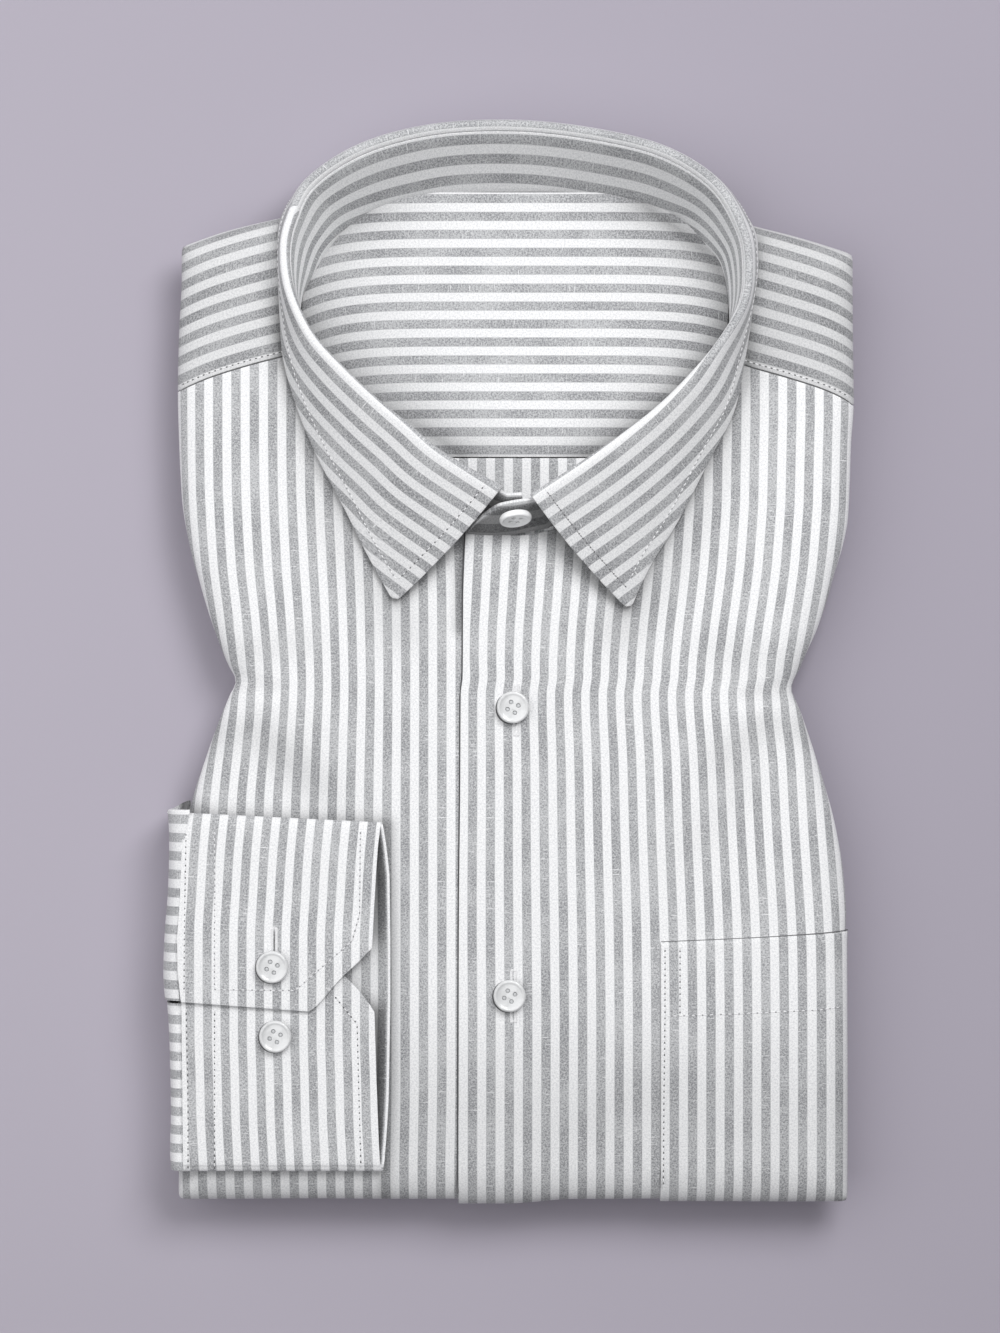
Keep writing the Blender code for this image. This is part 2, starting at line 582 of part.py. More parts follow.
def rim_stations():
    """Round the packet from its lower left corner: the roll's middle and the level way out of it."""
    corner = [(1.0, share) for share in CORNER_SHARES]
    corner += [(share, 1.0) for share in reversed(CORNER_SHARES[:-1])]

    def direction(side, end):
        size = (abs(side) ** CORNER_POWER + abs(end) ** CORNER_POWER) ** (1 / CORNER_POWER)
        return side / size, end / size

    stations = []
    left_x, right_x = roll_start(-1, END_LINE), roll_start(1, END_LINE)
    left_top, right_top = LEFT_SIDE[0][0] - FOLD_REACH, RIGHT_SIDE[0][0] - FOLD_REACH
    left_top_x, right_top_x = roll_start(-1, left_top), roll_start(1, right_top)
    for share in END_SHARES:
        stations.append((mix(left_x, right_x, share), END_LINE, 0.0, -1.0))
    stations += [(right_x, END_LINE, *direction(side, -end)) for side, end in reversed(corner)]
    for y, _ in reversed(RIGHT_SIDE):
        if END_LINE < y < right_top - ROW_SPACE:
            stations.append((roll_start(1, y), y, 1.0, 0.0))
    stations += [(right_top_x, right_top, *direction(side, end)) for side, end in corner]
    for x, y in reversed(SHOULDER_EDGE[1:-1]):
        stations.append((x, y - FOLD_REACH, 0.0, 1.0))
    stations += [(left_top_x, left_top, *direction(-side, end)) for side, end in reversed(corner)]
    for y, _ in LEFT_SIDE:
        if END_LINE < y < left_top - ROW_SPACE:
            stations.append((roll_start(-1, y), y, -1.0, 0.0))
    stations += [(left_x, END_LINE, *direction(-side, -end)) for side, end in corner]
    return stations


def build_hidden_folds(material, collection, cutters):
    """The folds that the panels hide, as one solid: a rolled rim, layered edges below, a neck well."""
    levels = []
    for turn in CORE_TURNS:
        levels.append((CORE_REACH * math.sin(turn), FOLD_MIDDLE + CORE_RISE * math.cos(turn)))
    levels = list(reversed(levels + LAYER_EDGES))
    stations = rim_stations()

    def rim_point(station, reach, z):
        x, y, dx, dy = station
        if dy > 0:
            y = along(SHOULDER_EDGE, x + dx * reach * FOLD_REACH / CORE_REACH) - FOLD_REACH
        return x + reach * dx, y + reach * dy, z

    rings = [[rim_point(station, reach, z) for station in stations] for reach, z in levels]
    solid = loft(rings)
    mesh = bpy.data.meshes.new("hidden_folds")
    solid.to_mesh(mesh)
    solid.free()
    mesh.shade_smooth()
    mesh.set_sharp_from_angle(angle=SHARP_FOLD)
    piece = add_object("hidden_folds", mesh, material, collection)

    def well_ring(flare, z):
        ring = []
        for row, spread in zip(COLLAR, WELL_FLARE):
            base, edge = Vector(row[0:2]), Vector(row[6:8])
            out = (edge - Vector(row[3:5])).normalized()
            ring.append((*(base + out * (WELL_WALL + flare * spread)), z))
        return list(reversed(ring))

    well = loft([well_ring(0.0, WELL_FLOOR), well_ring(1.0, WELL_TOP)])
    well_mesh = bpy.data.meshes.new("neck_well")
    well.to_mesh(well_mesh)
    well.free()
    cutter = add_object("neck_well", well_mesh, material, cutters)
    cutter.hide_render = True
    cutter.display_type = "WIRE"
    cut = piece.modifiers.new("neck_well", "BOOLEAN")
    cut.operation = "DIFFERENCE"
    cut.object = cutter
    return piece


# Buttons.


def button_blank(collection):
    """A turned button with no holes, its back at z = 0."""
    profile = bmesh.new()
    verts = [profile.verts.new((radius * MM, 0.0, z * MM)) for radius, z in BUTTON_PROFILE]
    for a, b in zip(verts, verts[1:]):
        profile.edges.new((a, b))
    mesh = bpy.data.meshes.new("button_profile")
    profile.to_mesh(mesh)
    profile.free()
    blank = bpy.data.objects.new("button_blank", mesh)
    collection.objects.link(blank)
    turned = blank.modifiers.new("turned", "SCREW")
    turned.steps = BUTTON_SIDES
    turned.render_steps = BUTTON_SIDES
    turned.use_merge_vertices = True
    turned.merge_threshold = 0.01 * MM
    return blank


def hole_cutter(material, cutters):
    """The four holes, as one cutter."""
    holes = bmesh.new()
    for x, y in ((1, 1), (-1, 1), (-1, -1), (1, -1)):
        middle = Vector((x * HOLE_PITCH / 2, y * HOLE_PITCH / 2, 0.0))
        bmesh.ops.create_cone(
            holes,
            cap_ends=True,
            segments=HOLE_SIDES,
            radius1=HOLE_RADIUS * MM,
            radius2=HOLE_RADIUS * MM,
            depth=HOLE_DEPTH * MM,
            matrix=Matrix.Translation(middle * MM),
        )
    mesh = bpy.data.meshes.new("button_holes")
    holes.to_mesh(mesh)
    holes.free()
    cutter = add_object("button_holes", mesh, material, cutters)
    cutter.hide_render = True
    cutter.display_type = "WIRE"
    return cutter


def build_buttons(material, collection, cutters):
    """Five buttons: one on the collar's stand, two on the front, two on the cuff."""
    base, top = Vector(OVER_END[0][:3]), Vector(OVER_END[0][3:])
    out = (top - base).cross(Vector((-1, 0, 0))).normalized()
    collar_place = base.lerp(top, COLLAR_BUTTON_SHARE) + out * (COLLAR_WALL + BUTTON_GAP)
    collar_turn = out.to_track_quat("Z", "Y").to_matrix().to_4x4()
    places = {"button_collar": Matrix.Translation(collar_place * MM) @ collar_turn}
    for number, (x, y) in enumerate(FRONT_BUTTONS, 1):
        z = PACKET_TOP + LAP_RISE + BUTTON_GAP
        places[f"button_front_{number}"] = Matrix.Translation(Vector((x, y, z)) * MM)
    for number, (x, y, z) in enumerate(CUFF_BUTTONS, 1):
        place = Vector((x, y, z + BUTTON_GAP))
        places[f"button_cuff_{number}"] = Matrix.Translation(place * MM)

    blank = button_blank(cutters)
    drill = blank.modifiers.new("holes", "BOOLEAN")
    drill.operation = "DIFFERENCE"
    drill.object = hole_cutter(material, cutters)
    bpy.context.view_layer.update()
    drilled = blank.evaluated_get(bpy.context.evaluated_depsgraph_get())
    mesh = bpy.data.meshes.new_from_object(drilled)
    mesh.name = "button"
    mesh.materials.clear()
    mesh.materials.append(material)
    mesh.shade_smooth()
    mesh.set_sharp_from_angle(angle=SHARP_RIM)
    bpy.data.objects.remove(blank)
    for name, place in places.items():
        button = bpy.data.objects.new(name, mesh)
        button.matrix_world = place
        collection.objects.link(button)


def main():
    for old in list(bpy.data.objects):
        bpy.data.objects.remove(old)
    shirt = bpy.data.collections.new("folded_dress_shirt")
    cutters = bpy.data.collections.new("cutters")
    bpy.context.scene.collection.children.link(shirt)
    bpy.context.scene.collection.children.link(cutters)

    cloth = cloth_material("striped_cotton", WHITE_STRIPE, 0.85)
    folded = cloth_material("folded_cotton", GREY_CLOTH, 0.85)
    pearl = cloth_material("pearl_button", PEARL, 0.25)

    build_hidden_folds(folded, shirt, cutters)
    build_neck_floor(cloth, cloth, shirt)
    build_front("front_under", -1, cloth, shirt)
    build_front("front_over", 1, cloth, shirt)
    build_yoke("yoke_left", -1, cloth, shirt)
    build_yoke("yoke_right", 1, cloth, shirt)
    build_pocket(cloth, shirt)
    build_collar(cloth, shirt)
    build_sleeve(cloth, shirt)
    build_cuff(cloth, shirt)
    build_buttons(pearl, shirt, cutters)


main()
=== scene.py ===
"""The looks of the folded dress shirt: its cloth, sewing, buttons, light and camera.

Sizes are in millimetres and MM turns them into metres. +X is the wearer's left, +Y is towards the
collar and +Z is up from the table. A cloth piece is a grid of points on its outer face, and each
point also has its place in the flat cloth, which the stripes and the weave follow.
"""

import math

import bmesh
import bpy
import numpy as np
from mathutils import Matrix, Vector


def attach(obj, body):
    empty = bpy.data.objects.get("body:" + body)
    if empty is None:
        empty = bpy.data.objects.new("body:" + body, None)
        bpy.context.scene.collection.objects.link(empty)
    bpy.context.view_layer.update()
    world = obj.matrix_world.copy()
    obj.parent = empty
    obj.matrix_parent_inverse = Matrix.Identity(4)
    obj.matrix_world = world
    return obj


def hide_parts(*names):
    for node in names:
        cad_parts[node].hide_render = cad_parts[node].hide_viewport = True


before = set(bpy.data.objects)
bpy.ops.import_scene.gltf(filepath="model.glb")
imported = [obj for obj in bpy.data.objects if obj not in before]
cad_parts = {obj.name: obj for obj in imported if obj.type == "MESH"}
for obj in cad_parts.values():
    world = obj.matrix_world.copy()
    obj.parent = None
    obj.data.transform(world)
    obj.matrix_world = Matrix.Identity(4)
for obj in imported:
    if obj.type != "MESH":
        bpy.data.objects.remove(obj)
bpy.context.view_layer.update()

MM = 0.001

# ---------------------------------------------------------------- the shirt's form, as in its solids

SEAM_GAP = 0.35
LYING_GAP = 0.35
PANEL_WALL = 0.9
COLLAR_WALL = 1.2
CUFF_WALL = 1.1
SLEEVE_WALL = 1.0
POCKET_WALL = 0.6
FLOOR_WALL = 0.8
EDGE_ROUNDING = 0.3  # as a share of the wall

# The rolled edge of the packet, a flattened half round: how far it reaches out, and half its height.
FOLD_REACH = 14.0
FOLD_RISE = 7.5
FOLD_MIDDLE = 18.5
PACKET_TOP = FOLD_MIDDLE + FOLD_RISE
CORNER_POWER = 8.0
SHARP_CORNER = 18.0  # the same for the panels, whose corners are sharper
PANEL_TURN = math.radians(150)
POCKET_TURN = math.radians(120)
STRAIGHT_TURN = 1.4  # how far round, in radians, stripes run straight on into a corner

LEFT_SIDE = [  # y, x of the packet's outline
    (149.9, -118.8), (136.0, -119.3), (118.0, -120.2), (97.5, -120.6), (80.0, -120.2), (58.0, -119.1),
    (41.0, -116.2), (28.0, -112.6), (16.0, -109.0), (4.5, -105.0), (-3.5, -101.9), (-8.5, -100.6),
    (-12.5, -101.9), (-19.5, -104.9), (-34.5, -110.3), (-52.0, -115.9), (-70.0, -119.2), (-88.0, -120.3),
    (-122.6, -120.3), (-150.0, -120.0), (-176.0, -120.0), (-183.5, -120.4),
]
RIGHT_SIDE = [  # y, x of the packet's outline
    (147.0, 123.5), (132.0, 123.8), (112.5, 124.0), (92.5, 124.2), (78.0, 123.1), (62.0, 122.5),
    (51.0, 121.9), (41.5, 120.1), (31.0, 117.0), (22.0, 114.5), (11.0, 110.8), (-0.5, 105.7),
    (-10.8, 102.4), (-19.5, 105.4), (-28.0, 108.2), (-42.0, 112.6), (-59.0, 117.2), (-75.0, 120.1),
    (-92.0, 121.4), (-104.0, 120.9), (-145.0, 120.9), (-183.5, 120.9),
]
SHOULDER_EDGE = [  # x, y of the fold along the top of both shoulders, and behind the neck
    (-118.8, 149.9), (-103.0, 155.2), (-82.5, 160.1), (-60.0, 165.5), (-40.0, 169.4), (-20.0, 171.6),
    (2.0, 172.3), (24.0, 171.2), (44.0, 168.7), (65.0, 164.0), (86.5, 157.5), (103.0, 153.2),
    (123.5, 147.0),
]
SIDE_LIMIT = 124.0
BOTTOM_EDGE = -195.0
END_LINE = BOTTOM_EDGE + FOLD_REACH

FRONT_EDGE = [  # y, x of the folded edge of the lapping front
    (56.0, -16.0), (24.0, -17.2), (-6.0, -17.4), (-12.0, -18.1), (-47.0, -18.3), (-86.0, -18.7),
    (-195.0, -19.1),
]
UNDERLAP = 15.0
LAP_RISE = 1.75
LAP_LEVEL = 17.0
LAP_RUN_OUT = 26.0
NECK_FRONT = [  # x, y of the fronts' edge along the collar
    (-77.0, 110.6), (-70.5, 99.4), (-60.0, 86.6), (-48.0, 74.8), (-35.5, 64.0), (-23.0, 54.6),
    (-13.0, 49.4), (-6.5, 45.6), (2.0, 44.8), (15.0, 47.0), (27.0, 54.8), (38.0, 63.6), (50.0, 74.2),
    (61.0, 85.2), (72.5, 98.0), (80.2, 107.6),
]
UNDER_FRONT_START = -3.6  # x at the neckline of each front's edge
OVER_FRONT_START = -16.2
LEFT_YOKE_SEAM = [  # x, y
    (-119.9, 97.4), (-108.4, 101.9), (-96.5, 105.7), (-82.8, 109.4), (-77.0, 111.0),
]
RIGHT_YOKE_SEAM = [  # x, y
    (80.2, 108.0), (84.8, 106.2), (99.7, 101.8), (111.6, 98.0), (120.6, 94.2), (123.5, 92.4),
]
SEAM_TO_ROLL = 108.0
LEFT_YOKE_NECK = [  # y, x
    (111.0, -77.0), (118.0, -77.8), (126.0, -78.6), (136.0, -79.4), (146.0, -79.8), (165.0, -79.4),
]
RIGHT_YOKE_NECK = [  # y, x
    (108.0, 80.2), (118.0, 81.0), (126.0, 81.8), (136.0, 82.4), (146.0, 82.6), (160.0, 82.0),
]
YOKE_NECK_FOOT = 110.0
YOKE_NECK_HEAD = 160.0
CLOTH_STEP = 1.8  # about how far apart the fronts' and the sleeve's points lie
FRONT_ROWS, FRONT_TURNS = 141, 16
POCKET_COLUMNS, POCKET_ROWS, YOKE_COLUMNS, YOKE_ROWS, SMALL_TURNS = 35, 45, 19, 31, 14
POCKET_INNER_EDGE = 54.0
POCKET_MOUTH = [(54.0, -101.8), (73.0, -101.0), (93.0, -100.0), (111.5, -98.8), (122.0, -98.0)]  # x, y

# The collar, one row for each section round the neck. The stand goes from the base up to the fold,
# and the leaf from the fold down to its edge, bowed up between them.
COLLAR = [  # base x, y, z; fold x, y, z; edge x, y, z; bow
    (-9.0, 50.2, 26.3, -4.5, 60.0, 43.0, -42.0, 21.5, 27.9, 0.8),
    (-31.0, 63.5, 26.1, -25.3, 74.0, 43.0, -51.5, 37.0, 27.9, 1.0),
    (-45.5, 75.8, 25.8, -38.9, 82.3, 43.0, -60.3, 54.5, 27.9, 1.2),
    (-57.0, 87.2, 25.4, -48.4, 92.9, 43.0, -70.0, 73.3, 27.9, 1.2),
    (-67.0, 99.7, 24.6, -59.4, 105.5, 43.0, -77.2, 90.8, 27.9, 1.2),
    (-74.0, 112.8, 22.5, -69.2, 117.7, 42.3, -82.2, 109.0, 27.7, 0.6),
    (-76.0, 129.5, 18.0, -76.8, 131.8, 41.0, -83.6, 130.0, 27.5, 0.4),
    (-71.5, 141.8, 14.0, -80.2, 146.1, 39.0, -84.0, 145.5, 27.4, 0.3),
    (-66.0, 151.2, 11.8, -78.3, 157.6, 37.5, -82.7, 160.2, 26.0, 0.3),
    (-58.0, 160.0, 10.1, -69.8, 169.0, 34.3, -73.0, 172.8, 6.0, 1.0),
    (-44.5, 167.6, 8.6, -52.5, 181.5, 30.2, -54.0, 187.0, 1.4, 1.0),
    (-25.5, 171.4, 7.4, -27.0, 188.8, 27.6, -27.3, 193.9, 1.2, 1.0),
    (3.0, 172.2, 7.0, 3.2, 190.0, 27.0, 3.3, 195.4, 1.2, 1.0),
    (30.0, 171.4, 7.4, 32.0, 187.2, 27.8, 33.0, 192.4, 1.2, 1.0),
    (50.5, 167.2, 8.7, 55.0, 180.6, 29.8, 57.5, 185.5, 1.4, 1.0),
    (63.2, 160.9, 10.4, 72.0, 169.0, 34.3, 76.0, 172.6, 6.0, 1.0),
    (72.5, 150.2, 12.1, 81.2, 154.0, 38.0, 85.6, 156.0, 26.6, 0.3),
    (77.2, 142.2, 13.6, 82.9, 142.0, 39.8, 87.6, 142.5, 27.4, 0.3),
    (79.1, 127.5, 17.2, 80.2, 127.5, 41.4, 86.7, 127.5, 27.5, 0.4),
    (77.9, 112.5, 21.5, 74.0, 113.5, 42.6, 84.4, 108.5, 27.7, 0.6),
    (70.5, 99.5, 24.4, 63.5, 101.0, 43.0, 80.3, 89.2, 27.9, 1.2),
    (58.5, 85.2, 25.3, 52.0, 90.0, 43.0, 71.0, 70.8, 27.9, 1.2),
    (46.5, 73.0, 25.8, 39.5, 80.0, 43.0, 60.5, 50.0, 27.9, 1.2),
    (32.0, 61.0, 26.1, 25.5, 70.7, 43.0, 50.5, 34.0, 27.9, 1.0),
    (13.0, 48.2, 26.3, 7.3, 58.2, 43.0, 42.9, 18.6, 27.9, 0.8),
]
SECTION_STEPS = 8
END_STEPS = 6
ROLL_STEPS = 8
LEAF_STEPS = 28
STAND_STEPS = 12
CREST = 1 + ROLL_STEPS // 2  # row of the leaf at the top of its roll
LEAF_TOP = 1 + ROLL_STEPS  # its row at the end of the roll
ROLL_RADIUS = 1.75
LEAF_ROOT = 1.5
UNDER_END = [  # base x, y, z; top x, y, z
    (4.2, 49.3, 26.6, 4.0, 59.7, 41.2), (-2.0, 49.0, 26.5, -1.0, 59.4, 41.0),
]
OVER_END = [  # base x, y, z; top x, y, z
    (1.4, 46.1, 27.0, 1.4, 57.0, 41.8), (-4.6, 45.8, 27.2, -4.8, 55.7, 39.5),
    (-8.8, 45.8, 27.2, -9.3, 52.9, 36.5), (-12.6, 46.1, 27.3, -12.9, 49.8, 32.5),
    (-15.4, 46.4, 27.5, -15.8, 46.9, 29.0),
]
COLLAR_LOOK = [  # how much further out the fold and the edge lie, a pair for each section
    (-0.6, 1.2), (1.0, 0.3), (-1.3, 0.0), (1.0, 0.0), (2.6, 0.0), (3.3, 0.0), (2.2, 0.0), (0.8, 0.0),
    (0.5, 0.0), (3.2, 1.0), (2.65, 0.5), (2.6, 0.0), (2.7, 0.0), (2.0, 0.0), (2.25, 0.0), (2.1, 0.8),
    (1.5, 1.5), (1.9, 1.5), (3.0, 0.5), (1.1, 0.0), (1.2, 0.0), (1.4, 0.0), (1.2, 0.0), (1.5, 0.3),
    (0.8, 0.9),
]
LEAF_STRIPE = [  # section, the first white stripe's middle from the fold
    (0.0, 4.5), (1.0, 3.2), (2.0, 2.7), (3.0, 1.9), (4.0, 1.6), (5.0, 1.2), (6.0, 0.9), (7.0, 0.8),
    (8.15, 0.8), (8.4, -2.9), (10.0, -3.0), (12.0, -3.1), (17.0, -3.1), (18.0, -3.0), (19.0, -2.9),
    (20.0, -0.9), (21.0, 0.1), (22.0, 1.2), (23.0, 2.2), (24.0, 2.9),
]
LEAF_STRETCH = [  # section, how much wider the stripes lie
    (0.0, -0.031), (3.0, -0.02), (5.0, 0.0), (21.0, 0.0), (24.0, -0.014),
]
TIP_CUT = 1.9
TIP_SPAN = 14  # sections from a tip to where its edge's way is taken
MOUTH_SHADES = [  # y, brightness lost inside the cuff's mouth
    (-180.0, 0.7), (-127.0, 0.62), (-119.0, 0.15), (-105.0, 0.12), (-97.0, 0.5), (-80.0, 0.7),
]
PEEP_SHADE = 0.75
PEEP_DROP = -1.0  # z against the sleeve's top, below which the peep is in shade
PEEP_SHADE_X = -120.5
HOLLOW_SHADE = 0.16  # for each millimetre of depth
STAND_SHADES = [  # y, share of brightness kept
    (46.0, 0.33), (56.0, 0.36), (75.0, 0.6), (105.0, 1.04), (135.0, 1.04), (165.0, 0.84),
]
STAND_RIM_SHADE = 0.95
STAND_RIM = 9.5  # row of the stand where its painted shade eases to a lighter rim
STAND_SLOPE = [(50.0, 0.35), (62.0, 1.0), (146.0, 1.0), (178.0, 0.35)]  # y, how much its stripes keep of z
LEAF_SHADE = 0.86
ROLL_RUN, LEAF_SHADE_FADE = 1.5, 5.0  # from the fold to where the leaf's shade starts, and its fade
YOKE_SHADE = {-1: 0.8, 1: 0.72}
HEM_SHADE = 0.15
HEM_SHADE_START = -110.0
HEM_SHADE_FADE = 60.0
FLOOR_VIEW = [  # y, x where the collar's left and right sides hide the inner yoke
    (75.6, -18.4, 28.4), (84.6, -32.8, 43.6), (93.6, -47.2, 54.7), (104.4, -59.8, 66.2),
    (115.2, -70.6, 76.0), (129.6, -76.0, 78.5), (140.4, -76.0, 76.3), (151.2, -68.8, 68.0),
    (165.0, -52.0, 50.0),
]
FLOOR_PAINTED_LIGHT = [(85.0, 1.05), (105.0, 1.0), (130.0, 0.965), (165.0, 0.955)]  # y, share of brightness kept: painted light and shade along the inner yoke
FLOOR_SHADES = ((0.5, 12.0), (0.6, 13.0))  # brightness lost beside each, and how far in it fades
NEAR_SHADES = [  # x, y along an edge that lies on the panels, brightness lost beside it, its reach
    ([(-15.1, 48.6), (-27.0, 34.9), (-40.0, 22.0)], 0.38, 3.0),
    ([(17.6, 45.4), (25.6, 36.0), (32.4, 28.4), (40.3, 19.1)], 0.5, 3.4),
    ([(-43.2, 21.6), (-46.4, 28.8), (-65.2, 61.2), (-72.4, 73.8), (-80.3, 95.4), (-81.7, 106.2)], 0.3, 2.4),
    ([(43.5, 19.1), (47.5, 27.4), (68.0, 64.0), (76.0, 79.2), (84.2, 99.0), (85.3, 106.0)], 0.28, 2.4),
    ([(-40.0, 12.0), (-62.0, 50.0), (-72.0, 76.0), (-80.0, 106.0)], 0.16, 10.0),
    ([(40.0, 12.0), (64.0, 50.0), (75.0, 76.0), (84.0, 106.0)], 0.2, 10.0),
    ([(-82.8, 132.0), (-82.8, 109.8)], 0.42, 3.2),
    ([(88.6, 151.0), (84.2, 108.0)], 0.3, 3.2),
    ([(-16.6, 46.8), (-4.0, 45.7), (15.8, 47.5)], 0.4, 3.6),
    ([(-44.2, -60.0), (-43.4, -100.0), (-43.6, -150.0), (-45.6, -182.0)], 0.32, 2.8),
    ([(-115.6, -54.7), (-46.0, -58.3)], 0.25, 3.2),
]
LAP_SHADE = ([(-16.4, 46.0), (-17.0, 30.0), (-17.6, 12.0)], 0.5, 3.0)  # on the lower front only
FRONT_BULGE = [(0.0, 0.0), (0.25, 1.1), (0.5, 1.7), (0.75, 1.6), (1.0, 0.9)]  # share of the edge, out
BULGE_SECTIONS = 30
BUTTON_DIP = 0.5
BUTTON_DIP_REACH = 7.0
OVER_STRIPE_SHIFT = -1.2  # of the stripes on the stand's front end
END_BLEND = 10  # sections, to both sides of the end's start, over which they shift
STAND_STRIPE = -0.9
STAND_FOOT = 1.7  # how much further down the stand goes behind the neck, to the inner yoke
FOOT_BELOW, FOOT_FADE = 24.0, 9.0  # z of the stand's base from where it does so, and how soon in full

# The inside of the back yoke and the back panel, on the floor of the neck opening.
WELL_FLOOR = 5.0
YOKE_FLOOR = [  # y, height in the middle, height at the neckline
    (75.9, 8.8, 9.0), (90.0, 8.7, 9.2), (105.0, 8.5, 10.0), (118.0, 8.2, 13.0), (128.0, 8.0, 15.6),
    (138.0, 7.8, 13.6), (148.0, 7.5, 11.4), (157.0, 7.2, 9.6), (164.0, 7.0, 8.4), (168.5, 6.9, 7.4),
    (170.9, 6.8, 7.0),
]
BACK_PANEL_Y = (51.0, 75.5)
FLOOR_COLUMNS, FLOOR_ROWS, BACK_PANEL_ROWS = 91, 61, 15
BACK_PANEL_TOP = 8.6
FLOOR_INSET = 0.2
YOKE_LOWER = 1.8  # how much further down the back yoke's seam lies

# The cuff, a flattened band whose ends lap, from the buttonhole end round to the button end.
CUFF = [  # y, z, x at the seam with the sleeve, x at the outer edge
    (-125.2, 33.0, -118.2, -72.4), (-113.8, 33.0, -119.4, -61.4), (-102.4, 32.8, -119.6, -49.8),
    (-88.0, 31.9, -118.7, -49.1), (-70.0, 31.6, -118.0, -48.0), (-62.0, 31.2, -117.1, -47.2),
    (-58.8, 30.4, -116.4, -46.9), (-57.6, 28.9, -116.2, -46.7), (-58.8, 27.3, -116.4, -46.2),
    (-62.0, 26.6, -117.0, -45.4), (-76.5, 26.4, -118.0, -43.6), (-100.0, 26.4, -119.0, -43.3),
    (-122.0, 26.4, -118.4, -43.3), (-157.0, 26.4, -117.9, -43.9), (-177.0, 26.6, -117.6, -45.2),
    (-182.0, 27.3, -117.6, -45.8), (-183.6, 28.9, -117.6, -46.3), (-182.0, 30.4, -117.6, -46.6),
    (-177.0, 31.2, -117.6, -47.2), (-150.0, 31.3, -117.9, -48.3), (-125.6, 31.2, -118.2, -49.0),
    (-112.0, 31.2, -119.0, -60.4), (-104.0, 31.1, -119.2, -68.4),
]

# The sleeve comes from under the packet, round its side and up to the cuff.
SLEEVE = [  # y, x at the seam with the cuff, x at the fold round the packet's side
    (-54.2, -116.6, -123.9), (-65.0, -118.4, -123.4), (-82.0, -119.2, -123.8), (-99.8, -120.2, -125.1),
    (-111.9, -120.6, -125.5), (-122.2, -120.2, -124.9), (-123.3, -118.6, -124.2), (-145.0, -118.6, -123.1),
    (-164.0, -118.4, -122.8), (-176.0, -118.4, -123.1), (-183.4, -118.4, -122.8),
]
SLIT_TOP = -122.2
SLIT_FOOT = -123.3
SLEEVE_PATH = [  # share of the way out from the seam to the fold, shift back inward, z
    (0.0, 0.0, 31.2), (0.2, 0.0, 31.1), (0.55, 0.0, 29.9), (0.85, 0.0, 27.2), (1.0, 0.0, 22.5),
    (1.0, 0.0, 15.0), (1.0, 0.5, 8.5), (1.0, 1.9, 3.2), (1.0, 3.9, 0.9), (1.0, 5.8, 0.3),
    (1.0, 8.2, 0.25),
]
SLIT_END = 5  # row of SLEEVE_PATH where the slit ends
PATH_STEPS = 6
TOP_ROLL_SHARE, TOP_ROLL_FADE = 0.72, 0.25  # of the way out, where the roll at the top goes out

# Edges of the hidden folds under the rolled edge.
LAYER_EDGES = [  # reach out from the roll's middle, height
    (4.2, 12.9), (4.2, 10.1), (9.3, 9.8), (10.7, 8.6), (9.8, 7.3), (7.9, 6.9), (9.0, 6.4), (9.4, 5.2),
    (8.3, 3.9), (6.3, 3.5), (7.1, 3.0), (7.3, 1.5), (5.9, 0.2), (5.0, 0.0),
]
SIDE_STEP, END_STEP = 4.0, 5.0  # between the places round the packet
LAYERS_TOP = 11.0
LAYER_WAVE, LAYER_RIPPLE, MOST_WAVE = 0.35, 0.2, 0.3
CORE_REACH = 11.8
CORE_RISE = 5.5
CORE_TURNS = [math.radians(a) for a in (20, 30, 45, 60, 75, 90, 105, 120, 135, 150)]
WELL_WALL = 1.0
WELL_TOP = PACKET_TOP + 4.0
WELL_FLARE = [  # how far it widens at the top, for each collar row
    0, 0, 0, 0, 0, 2, 8, 14, 18, 20, 24, 27, 27, 27, 24, 20, 18, 14, 8, 2, 0, 0, 0, 0, 0,
]

BUTTON_PROFILE = [  # radius, z, from the middle of the face over the rim to the middle of the back
    (0.0, 1.92), (2.9, 1.94), (3.8, 2.0), (4.4, 2.1), (4.75, 2.3), (5.2, 2.36), (5.55, 2.15), (5.78, 1.6),
    (5.8, 0.9), (5.5, 0.4), (4.9, 0.1), (0.0, 0.0),
]
BUTTON_SIDES = 64
HOLE_RADIUS = 0.8
HOLE_PITCH = 2.9
HOLE_TURN = math.radians(-26)
HOLE_DEPTH = 6.0
HOLE_SIDES = 20
HOLE_SOFTNESS = 0.12
BUTTON_GAP = 0.9
COLLAR_SOLID_WALL = 1.3  # the wall of the collar's solid, on which its button is seated
FRONT_BUTTONS = [(0.7, -17.0), (-0.5, -120.6)]  # x, y
CUFF_BUTTONS = [(-85.4, -109.8, 33.0), (-84.4, -134.8, 31.3)]  # x, y, z of the cuff under it
PLUG_SIDES = 10
PLUG_LEVELS = [  # z and radius of the thread in a hole
    (-BUTTON_GAP, 0.98 * HOLE_RADIUS), (1.3, 0.98 * HOLE_RADIUS), (1.62, 0.55 * HOLE_RADIUS),
]
COLLAR_BUTTON_SHARE = 0.66
COLLAR_BUTTON_LEAN = math.radians(15)
COLLAR_BUTTON_TWIST = math.radians(8)

# ------------------------------------------------------------------------- the cloth's own measures

